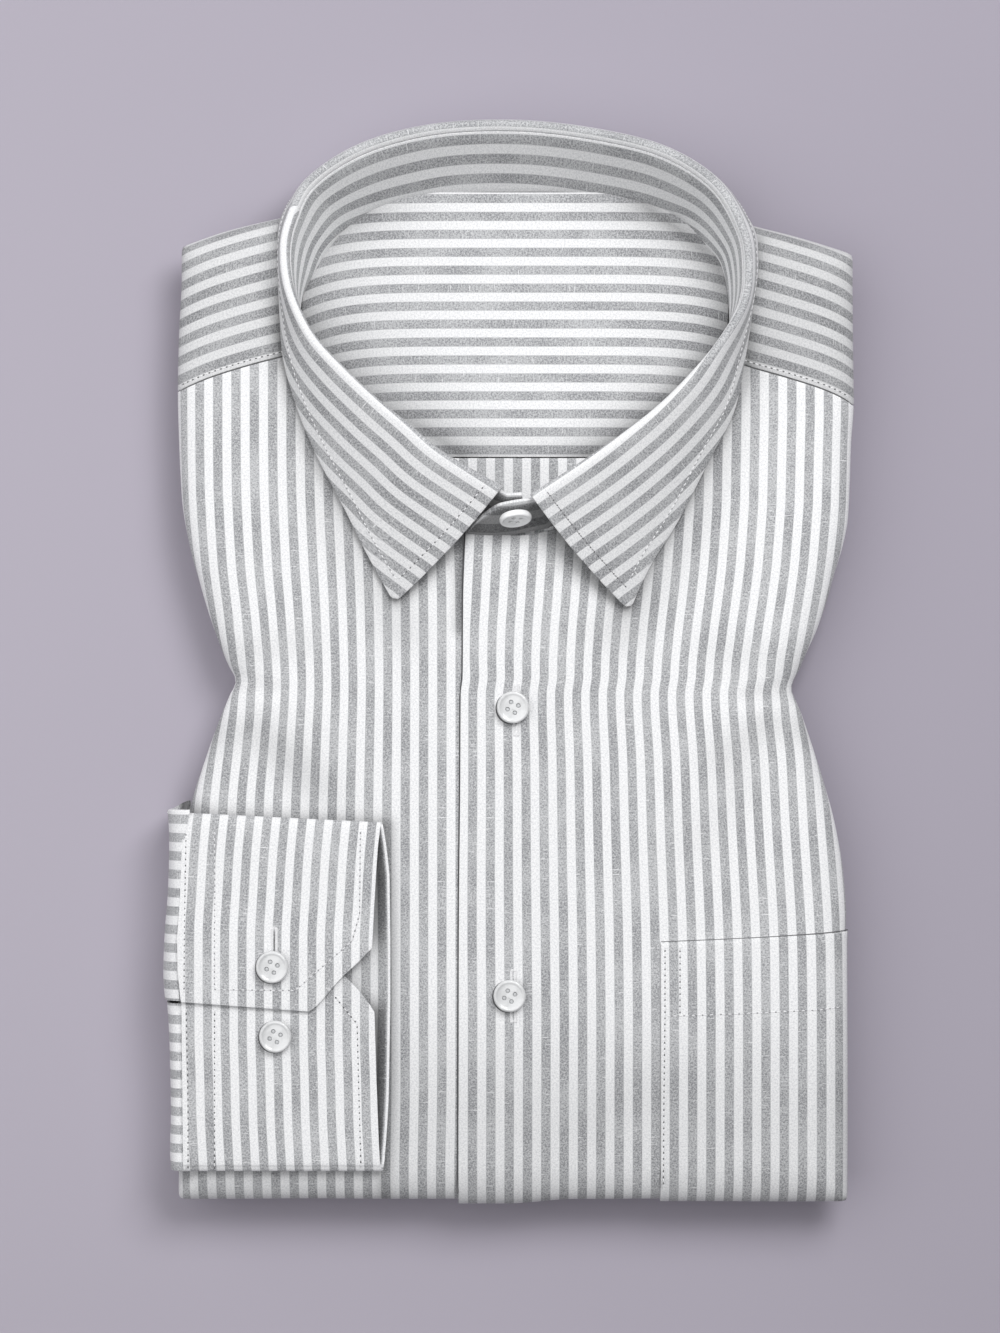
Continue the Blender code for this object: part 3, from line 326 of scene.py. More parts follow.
STRIPE = 6.6  # one grey and one white stripe together
STRIPE_START = 8.0  # from the lapping edge to its first white stripe's middle
UNDER_STRIPE = -21.6  # x of a white stripe's middle on the front beneath
OVER_DRIFT = [(86.0, 0.0), (36.0, 0.23), (12.0, 0.57), (-11.8, 1.0), (-35.6, 0.67), (-53.6, 0.5),
              (-108.0, 0.02), (-195.0, 0.0)]  # y, share of the stripes' full drift to the waist
UNDER_DRIFT = [(60.0, 0.0), (36.0, 0.09), (12.2, 0.6), (-9.0, 1.0), (-30.0, 0.56), (-54.0, 0.07),
               (-75.0, 0.0)]
OVER_PINCH = 0.056
UNDER_PINCH = 0.00076
OVER_LEAN = [(86.0, -0.2), (36.0, -0.4), (22.0, -0.1), (9.0, 0.4), (2.0, 0.4), (-8.0, 0.05),
             (-60.0, 0.0), (-100.0, -0.1), (-130.0, -0.4), (-195.0, -0.5)]  # y, shift of the stripes
UNDER_LEAN = [(93.0, 1.5), (79.0, 1.5), (65.0, 1.37), (50.0, 0.97), (36.0, 0.4), (22.0, 0.07),
              (8.0, 0.0), (-150.0, 0.0), (-185.0, 0.5)]
YOKE_STRIPE = {-1: 0.45, 1: 0.8}  # from the seam up to a white stripe's middle
YOKE_SLOPE = 0.985
FLOOR_STRIPE = 79.98  # y of a white stripe's middle on the inner yoke
FLOOR_PERIOD = 6.57
FLOOR_DROOP = 2.0
FLOOR_DROOP_MIDDLE = 4.0
FLOOR_DROOP_REACH = 64.0
PANEL_STRIPE = -0.86
CUFF_LINE = [  # y, x of a white stripe's middle
    (-57.6, -90.4), (-72.0, -91.7), (-86.0, -92.5), (-100.0, -93.2), (-136.0, -93.2),
    (-150.5, -92.8), (-165.0, -92.5), (-179.0, -91.8), (-184.0, -91.6),
]
CUFF_MOUTH = 0.93  # share of the cuff's width where its back layer starts to turn up
CUFF_LIP = 2.4
CUFF_BORDER = -1.0  # from the back layer's edge to its last white stripe's middle
CUFF_MIDDLE = 28.9  # z of its folded edges, half way between its layers
LIP_BELOW, LIP_FADE = 28.0, 1.4  # z below which its mouth turns up, and how soon in full
CUFF_INSIDE = 28.4  # z below which the cuff's mouth is in shade
CUFF_RIM, CUFF_RIM_FADE = 1.4, 0.8  # how much of the back layer's edge stays out of that shade
FINE_FROM = 0.9  # share of the width from where its columns lie closer
CUFF_SKEW = 3.4  # how much higher the cuff's seam side lies than its outer edge
CUFF_UNSKEWED = 0.8  # share of the width that stays where it is
CUFF_LEVEL = (-180.0, -125.0)  # y between which the skew fades in
SLEEVE_TUCK = 1.4  # how far the sleeve goes in under the cuff
UPPER_SLEEVE_LIFT = 0.3  # of the sleeve's edge at the seam, above its slit and below it
LOWER_SLEEVE_LIFT = -1.4
SLEEVE_TOP_ROLL = [  # y, z and share of the peep of the back layer, from the top edge on
    (0.35, -0.25, 0.0), (0.5, -0.8, 0.0), (0.3, -1.7, 0.0), (0.3, -2.8, 0.2), (0.3, -3.3, 0.6),
    (0.3, -3.6, 1.0),
]
SLEEVE_PEEP = 3.4  # how far the back layer shows past the top edge, at the seam
CUFF_PERIOD = 6.25
SLEEVE_STRIPE = -60.4
SLEEVE_LOWER_STRIPE = -125.8


def curve(rows, column=1):
    """A table's column against its first, as a function that goes through the rows and never swings."""
    rows = sorted(rows)
    keys = np.array([row[0] for row in rows], float)
    values = np.array([row[column] for row in rows], float)
    steps = np.diff(keys)
    rises = np.diff(values) / steps
    product = rises[:-1] * rises[1:]
    total = np.where(product > 0, rises[:-1] + rises[1:], 1.0)
    slopes = np.concatenate([rises[:1], np.where(product > 0, 2 * product / total, 0.0), rises[-1:]])

    def at(key):
        key = np.clip(key, keys[0], keys[-1])
        i = np.clip(np.searchsorted(keys, key, side="right") - 1, 0, len(steps) - 1)
        t = (key - keys[i]) / steps[i]
        start = values[i] * (1 + 2 * t) * (1 - t) ** 2 + slopes[i] * steps[i] * t * (1 - t) ** 2
        end = values[i + 1] * t * t * (3 - 2 * t) - slopes[i + 1] * steps[i] * t * t * (1 - t)
        return start + end

    return at


def mix(a, b, share):
    return a + (b - a) * share


def smooth(share):
    """0 to 1 with soft ends."""
    share = np.clip(share, 0.0, 1.0)
    return share * share * (3 - 2 * share)


def spaced(start, end, step):
    """Even places from start to end, about a step apart."""
    return np.linspace(start, end, max(2, round(abs(end - start) / step) + 1))


def travelled(points, axis=0):
    """The way along each line of points, which runs along the axis, from 0 at its start."""
    steps = np.linalg.norm(np.diff(points, axis=axis), axis=-1)
    return np.insert(np.cumsum(steps, axis=axis), 0, 0.0, axis=axis)


def circle(sides):
    """The cosine and the sine of each corner's turn, in a circle with so many sides."""
    turns = [2 * math.pi * k / sides for k in range(sides)]
    return [(math.cos(turn), math.sin(turn)) for turn in turns]


def smooth_rows(rows, steps, straight=()):
    """A table with steps places for each row, on a curve through its rows. Straight columns stay so."""
    rows = np.array(rows, float)
    padded = np.concatenate([rows[:1], rows, rows[-1:]])
    made = []
    for place in np.linspace(0, len(rows) - 1, (len(rows) - 1) * steps + 1):
        i = min(int(place), len(rows) - 2)
        t = place - i
        a, b, c, d = padded[i : i + 4]
        row = b + 0.5 * t * (c - a + t * (2 * a - 5 * b + 4 * c - d + t * (3 * (b - c) + d - a)))
        for column in straight:
            row[column] = mix(b[column], c[column], t)
        made.append(row)
    return np.array(made)


SIDE = {-1: curve(LEFT_SIDE), 1: curve(RIGHT_SIDE)}
SEAM = {-1: curve(LEFT_YOKE_SEAM), 1: curve(RIGHT_YOKE_SEAM)}
YOKE_NECK = {-1: curve(LEFT_YOKE_NECK), 1: curve(RIGHT_YOKE_NECK)}
shoulder_edge = curve(SHOULDER_EDGE)
front_edge = curve(FRONT_EDGE)
neck_front = curve(NECK_FRONT)
pocket_mouth = curve(POCKET_MOUTH)
over_drift = curve(OVER_DRIFT)
under_drift = curve(UNDER_DRIFT)
over_lean = curve(OVER_LEAN)
under_lean = curve(UNDER_LEAN)


def roll_start(side, y):
    """Where the side starts to roll over, at the height y on the page."""
    return SIDE[side](y) - side * FOLD_REACH


def roll(theta, phi):
    """Reach to the side, reach to the end and height, of a place on the rolled edge, each as a share."""
    turn = np.maximum(np.maximum(theta, phi), 1e-9)
    side, end = theta / turn, phi / turn
    size = (side**SHARP_CORNER + end**SHARP_CORNER + 1e-30) ** (1 / SHARP_CORNER)
    return np.sin(turn) * side / size, np.sin(turn) * end / size, np.cos(turn)


def straight(turn, other):
    """The turn whose stripe a place lies on, so that stripes run straight on into a corner."""
    upper = np.minimum(turn, math.pi / 2)
    seen = np.arcsin(np.clip(roll(upper, np.minimum(other, math.pi / 2))[0], 0.0, 1.0))
    return turn - (upper - seen) * (1 - smooth(turn - STRAIGHT_TURN))


def roll_length(turn):
    """The cloth that lies round the rolled edge, from its start to a turn."""
    turns = np.linspace(0.0, math.pi, 181)
    steps = np.hypot(FOLD_REACH * np.cos(turns), FOLD_RISE * np.sin(turns)) * (turns[1] - turns[0])
    return np.interp(turn, turns, np.cumsum(steps) - steps[0])


def lap_rise(x, y):
    """How far the lapping front is lifted by the front that it lies on."""
    return LAP_RISE * (1 - smooth((x - front_edge(y) - LAP_LEVEL) / LAP_RUN_OUT))


def skin(side, end, x, y, theta, phi, out=0.0):
    """Points on the packet: x and y up to the roll, then the turns round it. out is off the skin."""
    reach_x, reach_y, height = roll(theta, phi)
    return np.stack(
        [
            x + side * (FOLD_REACH + out) * reach_x,
            y + end * (FOLD_REACH + out) * reach_y,
            FOLD_MIDDLE + (FOLD_RISE + out) * height,
        ],
        axis=-1,
    )


# ------------------------------------------------------------------------------------------ creases

CREASES = [  # x0, y0, x1, y1, depth (down is positive), half width
    (-102.0, -6.0, -80.0, -12.0, 1.5, 3.6),
    (-96.0, 1.0, -68.0, 6.0, 0.6, 6.0),
    (-92.0, -10.0, -58.0, -26.0, -0.8, 7.0),
    (-98.0, -22.0, -66.0, -50.0, 1.2, 7.5),
    (-84.0, -30.0, -52.0, -66.0, 0.5, 8.0),
    (103.0, -9.0, 80.0, -14.0, 1.4, 3.6),
    (97.0, -2.0, 66.0, 5.0, 0.6, 7.0),
    (94.0, -12.0, 62.0, -26.0, -0.6, 7.0),
    (99.0, -20.0, 70.0, -40.0, 1.1, 7.5),
    (88.0, -40.0, 60.0, -75.0, 0.5, 9.0),
    (-81.0, 122.0, -83.0, 101.0, 1.1, 4.5),
    (84.0, 120.0, 88.0, 99.0, 1.1, 4.5),
    (60.0, -150.0, 20.0, -172.0, 0.35, 10.0),
    (-10.0, -60.0, -14.0, -110.0, -0.3, 9.0),
]
CREASE_TAIL = 0.6  # share of a crease's depth that is left at its far end
BROAD_WAVE, FINE_WAVE = 0.12, 0.07  # heights of the cloth's unevenness


def creased(x, y):
    """How deep the creases lie below the even form. A ridge's depth is below zero."""
    sunk = 0.0
    for x0, y0, x1, y1, depth, width in CREASES:
        dx, dy = x1 - x0, y1 - y0
        length = math.hypot(dx, dy)
        share = ((x - x0) * dx + (y - y0) * dy) / length**2
        off = ((x - x0) * dy - (y - y0) * dx) / length
        fade = smooth(1.5 - np.abs(share - 0.5) * 2)
        sunk = sunk + depth * fade * np.exp(-((off / width) ** 2)) * mix(1.0, CREASE_TAIL, share)
    return sunk


def relief(x, y):
    """How far the top cloth lies above the even form: creases, dips at buttons, slight unevenness."""
    height = BROAD_WAVE * np.sin(x / 23.0 + 1.3) * np.sin(y / 31.0 + 0.4)
    height = height + FINE_WAVE * np.sin(x / 11.0 - y / 17.0)
    for button_x, button_y in FRONT_BUTTONS:
        away = (x - button_x) ** 2 + (y - button_y) ** 2
        height = height - BUTTON_DIP * np.exp(-away / BUTTON_DIP_REACH**2)
    return height - creased(x, y)


def near_shade(x, y, line, loss, reach):
    """The share of its brightness that cloth keeps beside another piece's edge."""
    away = np.full(np.shape(x), np.inf)
    for (x0, y0), (x1, y1) in zip(line[:-1], line[1:]):
        dx, dy = x1 - x0, y1 - y0
        share = np.clip(((x - x0) * dx + (y - y0) * dy) / (dx**2 + dy**2), 0.0, 1.0)
        away = np.minimum(away, np.hypot(x - x0 - share * dx, y - y0 - share * dy))
    return 1 - loss * np.exp(-((away / reach) ** 2))


def panel_shade(x, y):
    """The share of its brightness that the packet's top keeps in creases, beside edges, by the hem."""
    kept = 1 - HOLLOW_SHADE * np.maximum(creased(x, y), 0.0)
    for line, loss, reach in NEAR_SHADES:
        kept = kept * near_shade(x, y, line, loss, reach)
    return kept * (1 - HEM_SHADE * smooth((HEM_SHADE_START - y) / HEM_SHADE_FADE))


# --------------------------------------------------------------------------------- building a piece


def unit(vectors):
    return vectors / np.maximum(np.linalg.norm(vectors, axis=-1, keepdims=True), 1e-12)


def normals_of(points):
    across = np.gradient(points, axis=0)
    down = np.gradient(points, axis=1)
    return unit(np.cross(across, down))


def placed(name, data):
    """A new object in the scene."""
    made = bpy.data.objects.new(name, data)
    bpy.context.scene.collection.objects.link(made)
    return made


def new_object(name, mesh, material):
    mesh.materials.append(material)
    return placed(name, mesh)


def mesh_of(name, form):
    """A mesh from a bmesh, which ends here."""
    mesh = bpy.data.meshes.new(name)
    form.to_mesh(mesh)
    form.free()
    return mesh


def cloth_mesh(name, points, faces, cloth):
    """A smooth mesh with its cloth map. cloth is each point's place when flat."""
    mesh = bpy.data.meshes.new(name)
    mesh.from_pydata((points.reshape(-1, 3) * MM).tolist(), [], faces)
    corners = np.array([loop.vertex_index for loop in mesh.loops])
    flat = (cloth.reshape(-1, 2) * MM)[corners]
    mesh.uv_layers.new(name="cloth").data.foreach_set("uv", flat.astype(np.float32).ravel())
    mesh.shade_smooth()
    mesh.update()
    return mesh


def soften(piece, width, degrees):
    """Rounds the piece's edges that turn by more than so many degrees."""
    rounded = piece.modifiers.new("rounded_edge", "BEVEL")
    rounded.width = width * MM
    rounded.segments = 2
    rounded.limit_method = "ANGLE"
    rounded.angle_limit = math.radians(degrees)


def subtract(piece, cutter):
    """Takes the cutter's form out of the piece."""
    cut = piece.modifiers.new("cut", "BOOLEAN")
    cut.operation = "DIFFERENCE"
    cut.object = cutter


def worked_out(piece):
    """A new mesh of the piece with its modifiers worked out."""
    bpy.context.view_layer.update()
    return bpy.data.meshes.new_from_object(piece.evaluated_get(bpy.context.evaluated_depsgraph_get()))


def shell(name, points, cloth, wall, material, flip=False, keep=None, uneven=False, shade=1.0):
    """A cloth piece. points is columns x rows x 3 on its outer face, and cloth their places when flat.

    uneven gives it the packet's creases. keep says which cells of the grid stay. shade is the share of
    its brightness that each point keeps.
    """
    columns, rows = points.shape[:2]
    if uneven:
        normal = normals_of(points) * (-1 if flip else 1)
        points = points + normal * relief(points[..., 0], points[..., 1])[..., None]
    number = np.arange(columns * rows).reshape(columns, rows)
    corners = [number[:-1, :-1], number[1:, :-1], number[1:, 1:], number[:-1, 1:]]
    faces = np.stack(corners[::-1] if flip else corners, axis=-1)
    faces = faces[keep] if keep is not None else faces.reshape(-1, 4)
    mesh = cloth_mesh(name, points, faces.tolist(), cloth)
    kept = np.broadcast_to(shade, (columns, rows)).astype(np.float32)
    mesh.attributes.new("shade", "FLOAT", "POINT").data.foreach_set("value", kept.ravel())
    piece = new_object(name, mesh, material)
    solid = piece.modifiers.new("wall", "SOLIDIFY")
    solid.thickness = wall * MM
    solid.offset = -1.0
    soften(piece, EDGE_ROUNDING * wall, 60)
    return piece


# ------------------------------------------------------------------------------------------- panels


def over_flat(x, y):
    """Where a point of the lapping front, or of the pocket, lies across the flat cloth."""
    return (x + over_lean(y) - front_edge(y)) / (1 - OVER_PINCH * over_drift(y)) - STRIPE_START


def under_flat(x, y):
    across = UNDER_STRIPE - x - under_lean(y)
    pinch = UNDER_PINCH * under_drift(y)
    return 2 * across / (1 + np.sqrt(np.maximum(1 - 4 * pinch * across, 0.01)))


def laid_out(flat, most, turned):
    """A grid's lines one way: their shares of its flat part, and their turns round the rolled edge."""
    share = np.append(np.linspace(0.0, 1.0, flat), np.ones(turned))
    turn = np.append(np.zeros(flat), np.linspace(0.0, most, turned + 1)[1:])
    return np.array([share, turn])


def build_front(side, material):
    start = OVER_FRONT_START if side > 0 else UNDER_FRONT_START
    roll_x = roll_start(side, SEAM[side](side * SEAM_TO_ROLL))
    limit = NECK_FRONT[-1][0] if side > 0 else NECK_FRONT[0][0]
    flat_x = spaced(start, roll_x, CLOTH_STEP)
    top_x = np.append(flat_x, np.full(FRONT_TURNS, roll_x))
    theta = laid_out(len(flat_x), PANEL_TURN, FRONT_TURNS)[1]
    reach = top_x + side * FOLD_REACH * np.sin(theta)
    top_y = np.where(side * top_x < side * limit, neck_front(top_x), SEAM[side](reach) - SEAM_GAP)

    def inner_edge(y):
        return front_edge(y) + (0.0 if side > 0 else UNDERLAP)

    top_x, top_y, theta = (values[:, None] for values in (top_x, top_y, theta))
    share, phi = laid_out(FRONT_ROWS, PANEL_TURN, FRONT_TURNS)[:, None, :]
    y = mix(top_y, END_LINE, share)
    across = (top_x - inner_edge(top_y)) / (roll_start(side, top_y) - inner_edge(top_y))
    across = np.where(theta > 0, 1.0, across)
    x = mix(inner_edge(y), roll_start(side, y), across)
    points = skin(side, -1, x, y, theta, phi, lap_rise(x, y) if side > 0 else 0.0)
    flat = over_flat if side > 0 else under_flat
    u = flat(x, y) + roll_length(straight(theta, phi))
    v = -y + roll_length(phi)
    shade = panel_shade(x, y)
    if side < 0:
        shade = shade * near_shade(x, y, *LAP_SHADE)
    cloth = np.stack([u, v], axis=-1)
    return shell("front", points, cloth, PANEL_WALL, material, flip=side > 0, uneven=True, shade=shade)


def build_pocket(material):
    across, theta = laid_out(POCKET_COLUMNS, POCKET_TURN, SMALL_TURNS)[:, :, None]
    share, phi = laid_out(POCKET_ROWS, POCKET_TURN, SMALL_TURNS)[:, None, :]
    top = pocket_mouth(SIDE_LIMIT)
    mouth_x = mix(POCKET_INNER_EDGE, roll_start(1, top), across)
    y = mix(pocket_mouth(mouth_x + FOLD_REACH * np.sin(np.minimum(theta, math.pi / 2))), END_LINE, share)
    x = mix(POCKET_INNER_EDGE, roll_start(1, y), across)
    points = skin(1, -1, x, y, theta, phi, LYING_GAP + POCKET_WALL)
    cloth = np.stack([over_flat(x, y) + roll_length(straight(theta, phi)), -y + roll_length(phi)], axis=-1)
    shade = panel_shade(points[..., 0], points[..., 1])
    return shell("pocket_form", points, cloth, POCKET_WALL, material, flip=True, uneven=True, shade=shade)


def build_yoke(side, material):
    foot = SEAM[side](side * SIDE_LIMIT)
    head = shoulder_edge(side * SIDE_LIMIT) - FOLD_REACH
    across, theta = laid_out(YOKE_COLUMNS, PANEL_TURN, SMALL_TURNS)[:, :, None]
    share, phi = laid_out(YOKE_ROWS, PANEL_TURN, SMALL_TURNS)[:, None, :]
    roll_x = roll_start(side, mix(foot, head, share))
    x = mix(YOKE_NECK[side](mix(YOKE_NECK_FOOT, YOKE_NECK_HEAD, share)), roll_x, across)
    reach = x + side * FOLD_REACH * roll(theta, phi)[0]
    y = mix(SEAM[side](reach), shoulder_edge(reach) - FOLD_REACH, share)
    points = skin(side, 1, x, y, theta, phi)
    above = (y - SEAM[side](reach)) * YOKE_SLOPE + roll_length(straight(phi, theta))
    cloth = np.stack([above - YOKE_STRIPE[side], side * x + roll_length(theta)], axis=-1)
    shade = YOKE_SHADE[side] * panel_shade(points[..., 0], points[..., 1])
    return shell("yoke", points, cloth, PANEL_WALL, material, flip=side < 0, uneven=True, shade=shade)


def build_neck_floor(material):
    middle = len(COLLAR) // 2
    sides = (COLLAR[: middle + 1], COLLAR[middle:])
    left, right = (curve([(row[1], row[0]) for row in side]) for side in sides)
    share = np.linspace(-1.0, 1.0, FLOOR_COLUMNS)[:, None]

    def across(y):
        return mix(left(y) + FLOOR_INSET, right(y) - FLOOR_INSET, (share + 1) / 2)

    y = np.linspace(YOKE_FLOOR[0][0] - YOKE_LOWER, YOKE_FLOOR[-1][0], FLOOR_ROWS)[None, :]
    x = across(y)
    z = mix(curve(YOKE_FLOOR)(y), curve(YOKE_FLOOR, 2)(y), np.abs(share) ** 4)
    y = np.broadcast_to(y, x.shape)
    droop = FLOOR_DROOP * ((x - FLOOR_DROOP_MIDDLE) / FLOOR_DROOP_REACH) ** 6
    cloth = np.stack([(y - FLOOR_STRIPE + droop) * STRIPE / FLOOR_PERIOD, x], axis=-1)
    # painted light and shade along the inner yoke, then painted shade beside the collar's sides
    shade = curve(FLOOR_PAINTED_LIGHT)(y)
    for k, (loss, reach) in enumerate(FLOOR_SHADES):
        inside = np.maximum(np.abs(x - curve(FLOOR_VIEW, k + 1)(y)), 0.0)
        shade = shade * (1 - loss * np.exp(-inside / reach))
    yoke = shell(
        "yoke_inner_form", np.stack([x, y, z], axis=-1), cloth, FLOOR_WALL, material, shade=shade
    )
    y = np.linspace(BACK_PANEL_Y[1] - YOKE_LOWER, BACK_PANEL_Y[0], BACK_PANEL_ROWS)[None, :]
    x = across(y)
    y = np.broadcast_to(y, x.shape)
    cloth = np.stack([(x - PANEL_STRIPE) * STRIPE / FLOOR_PERIOD, y], axis=-1)
    points = np.stack([x, y, np.full(x.shape, BACK_PANEL_TOP)], axis=-1)
    panel = shell("back_panel_form", points, cloth, FLOOR_WALL, material, flip=True)
    return yoke, panel


# ------------------------------------------------------------------------------------------- collar


def collar_frame(row):
    """The section's base and edge, the stand's rise, the leaf's normal, and its roll's turns."""
    base, fold, edge = Vector(row[0:3]), Vector(row[3:6]), Vector(row[6:9])
    out = (edge - fold).to_2d().normalized().to_3d()
    up = Vector((0, 0, 1))
    centre = fold - up * ROLL_RADIUS
    rise = fold - base
    stand_turn = math.atan2(rise.z, rise.dot(out))
    to_edge = edge - centre
    level, drop = to_edge.dot(out), to_edge.z
    leaf_turn = math.atan2(drop, level) + math.asin(ROLL_RADIUS / math.hypot(level, drop))
    start, end = stand_turn + math.pi / 2, leaf_turn + math.pi / 2

    def on_roll(angle):
        return centre + (out * math.cos(angle) + up * math.sin(angle)) * ROLL_RADIUS

    stand_up = out * math.cos(stand_turn) + up * math.sin(stand_turn)
    leaf_normal = out * math.cos(end) + up * math.sin(end)
    rolled = [on_roll(mix(start, end, k / ROLL_STEPS)) for k in range(ROLL_STEPS + 1)]
    return base, edge, stand_up, leaf_normal, rolled


def leaf_points(row):
    _, edge, stand_up, leaf_normal, rolled = collar_frame(row)
    points = [rolled[0] - stand_up * LEAF_ROOT] + rolled
    for share in np.linspace(0.0, 1.0, LEAF_STEPS + 1)[1:]:
        points.append(rolled[-1].lerp(edge, share) + leaf_normal * (4 * row[9] * share * (1 - share)))
    return points


def up_the_stand(base, top):
    return [base.lerp(top, share) for share in np.linspace(0.0, 1.0, STAND_STEPS + 1)]


def stand_points(row):
    base, _, stand_up, _, rolled = collar_frame(row)
    top = rolled[0] - stand_up * (LEAF_ROOT + SEAM_GAP)
    return up_the_stand(base, top)


def worn_collar():
    """The collar's rows, with the fold and the edge where the photo has them."""
    rows = []
    for row, (fold_out, edge_out) in zip(COLLAR, COLLAR_LOOK):
        base, fold, edge = Vector(row[0:3]), Vector(row[3:6]), Vector(row[6:9])
        out = (edge - fold).to_2d().normalized().to_3d()
        foot = (base - fold).normalized() * STAND_FOOT * smooth((FOOT_BELOW - base.z) / FOOT_FADE)
        rows.append((*(base + foot), *(fold + out * fold_out), *(edge + out * edge_out), row[9]))
    return rows


def blunt(leaf):
    """The leaf with its two points cut off square."""
    for end, near in ((0, TIP_SPAN), (-1, -1 - TIP_SPAN)):
        tip = leaf[end, -1].copy()
        inward = unit(unit(leaf[end, LEAF_TOP] - tip) + unit(leaf[near, -1] - tip))
        short = TIP_CUT - (leaf[:, LEAF_TOP:] - tip) @ inward
        leaf[:, LEAF_TOP:] += np.maximum(short, 0.0)[..., None] * inward
    return leaf


def build_collar(material):
    sections = smooth_rows(worn_collar(), SECTION_STEPS)
    leaf = blunt(np.array([[tuple(p) for p in leaf_points(row)] for row in sections]))
    crest = leaf[:, CREST]
    along = unit(np.gradient(crest, axis=0))
    travel = travelled(crest)
    run = travelled(leaf, 1)
    run = run - run[:, CREST, None]
    lean = np.sum(unit(leaf[:, -1] - crest) * along, axis=1)[:, None]
    place = np.linspace(0.0, len(COLLAR) - 1, len(leaf))[:, None]
    across = run * np.sqrt(1 - lean**2) * (1 - curve(LEAF_STRETCH)(place)) - curve(LEAF_STRIPE)(place)
    cloth = np.stack([across, travel[:, None] + run * lean], axis=-1)
    out = curve(FRONT_BULGE)(np.clip(run / run[:, -1:], 0.0, 1.0))
    number = np.arange(len(leaf))
    for side, from_end in ((-1, number), (1, number[::-1])):
        fade = 1 - smooth(from_end / BULGE_SECTIONS)
        leaf = leaf + side * (fade[:, None] * out)[..., None] * along[:, None, :]
    leaf_shade = mix(1.0, LEAF_SHADE, smooth((run - ROLL_RUN) / LEAF_SHADE_FADE))
    leaf_piece = shell("collar_leaf_form", leaf, cloth, COLLAR_WALL, material, shade=leaf_shade)

    under_end, over_end = (
        [up_the_stand(Vector(row[:3]), Vector(row[3:])) for row in smooth_rows(rows, END_STEPS)]
        for rows in (UNDER_END, OVER_END)
    )
    stand = under_end + [stand_points(row) for row in sections] + over_end
    stand = np.array([[tuple(p) for p in column] for column in stand])
    middle = stand[:, STAND_STEPS // 2]
    rise = stand[:, -1] - stand[:, 0]
    height = np.hypot(np.hypot(rise[:, 0], rise[:, 1]), curve(STAND_SLOPE)(middle[:, 1]) * rise[:, 2])
    travel = np.cumsum(np.linalg.norm(np.gradient(middle, axis=0), axis=1))
    past_lap = np.arange(len(stand)) - (len(stand) - len(over_end))
    shown = np.where(past_lap < 0, height, height[-len(over_end)])[:, None]
    end = smooth((past_lap / END_BLEND + 1) / 2)[:, None]
    up = np.linspace(0.0, 1.0, STAND_STEPS + 1)
    down = shown + OVER_STRIPE_SHIFT * end - up * height[:, None]
    cloth = np.stack([down - STAND_STRIPE, np.broadcast_to(travel[:, None], down.shape)], axis=-1)
    low = curve(STAND_SHADES)(middle[:, 1])[:, None]
    # painted shade on the stand, lighter towards its rim
    shade = mix(low, np.maximum(low, STAND_RIM_SHADE), smooth((up * STAND_STEPS - STAND_RIM) / 2.0))
    stand_piece = shell("collar_stand_form", stand, cloth, COLLAR_WALL, material, shade=shade)
    return leaf_piece, stand_piece, leaf


# ------------------------------------------------------------------------------------ sleeve and cuff


def build_cuff(material):
    rows = smooth_rows(CUFF, SECTION_STEPS, straight=(2, 3))
    share = np.append(np.linspace(0.0, FINE_FROM, 50)[:-1], np.linspace(FINE_FROM, 1.0, 24))
    y, z, seam_x, edge_x = (rows[:, k][:, None] for k in range(4))
    x = mix(seam_x, edge_x, share)
    fade = smooth((y - CUFF_LEVEL[0]) / (CUFF_LEVEL[1] - CUFF_LEVEL[0]))
    skewed = y + CUFF_SKEW * (CUFF_UNSKEWED - share) * fade
    lip = CUFF_LIP * smooth((LIP_BELOW - z) / LIP_FADE) * smooth((share - CUFF_MOUTH) / (1 - CUFF_MOUTH))
    points = np.stack([x, skewed, z + lip], axis=-1)
    upper = (x - curve(CUFF_LINE)(y)) * STRIPE / CUFF_PERIOD
    u = mix(upper, x - edge_x + CUFF_BORDER, smooth((CUFF_MIDDLE - z) / 2.0))
    cloth = np.stack([u, np.broadcast_to(travelled(rows[:, :2])[:, None], x.shape)], axis=-1)
    inside = smooth(CUFF_INSIDE - z) * (1 - smooth((x - edge_x + CUFF_RIM) / CUFF_RIM_FADE))
    shade = 1 - curve(MOUTH_SHADES)(y) * inside
    return shell("cuff_form", points, cloth, CUFF_WALL, material, flip=True, shade=shade)


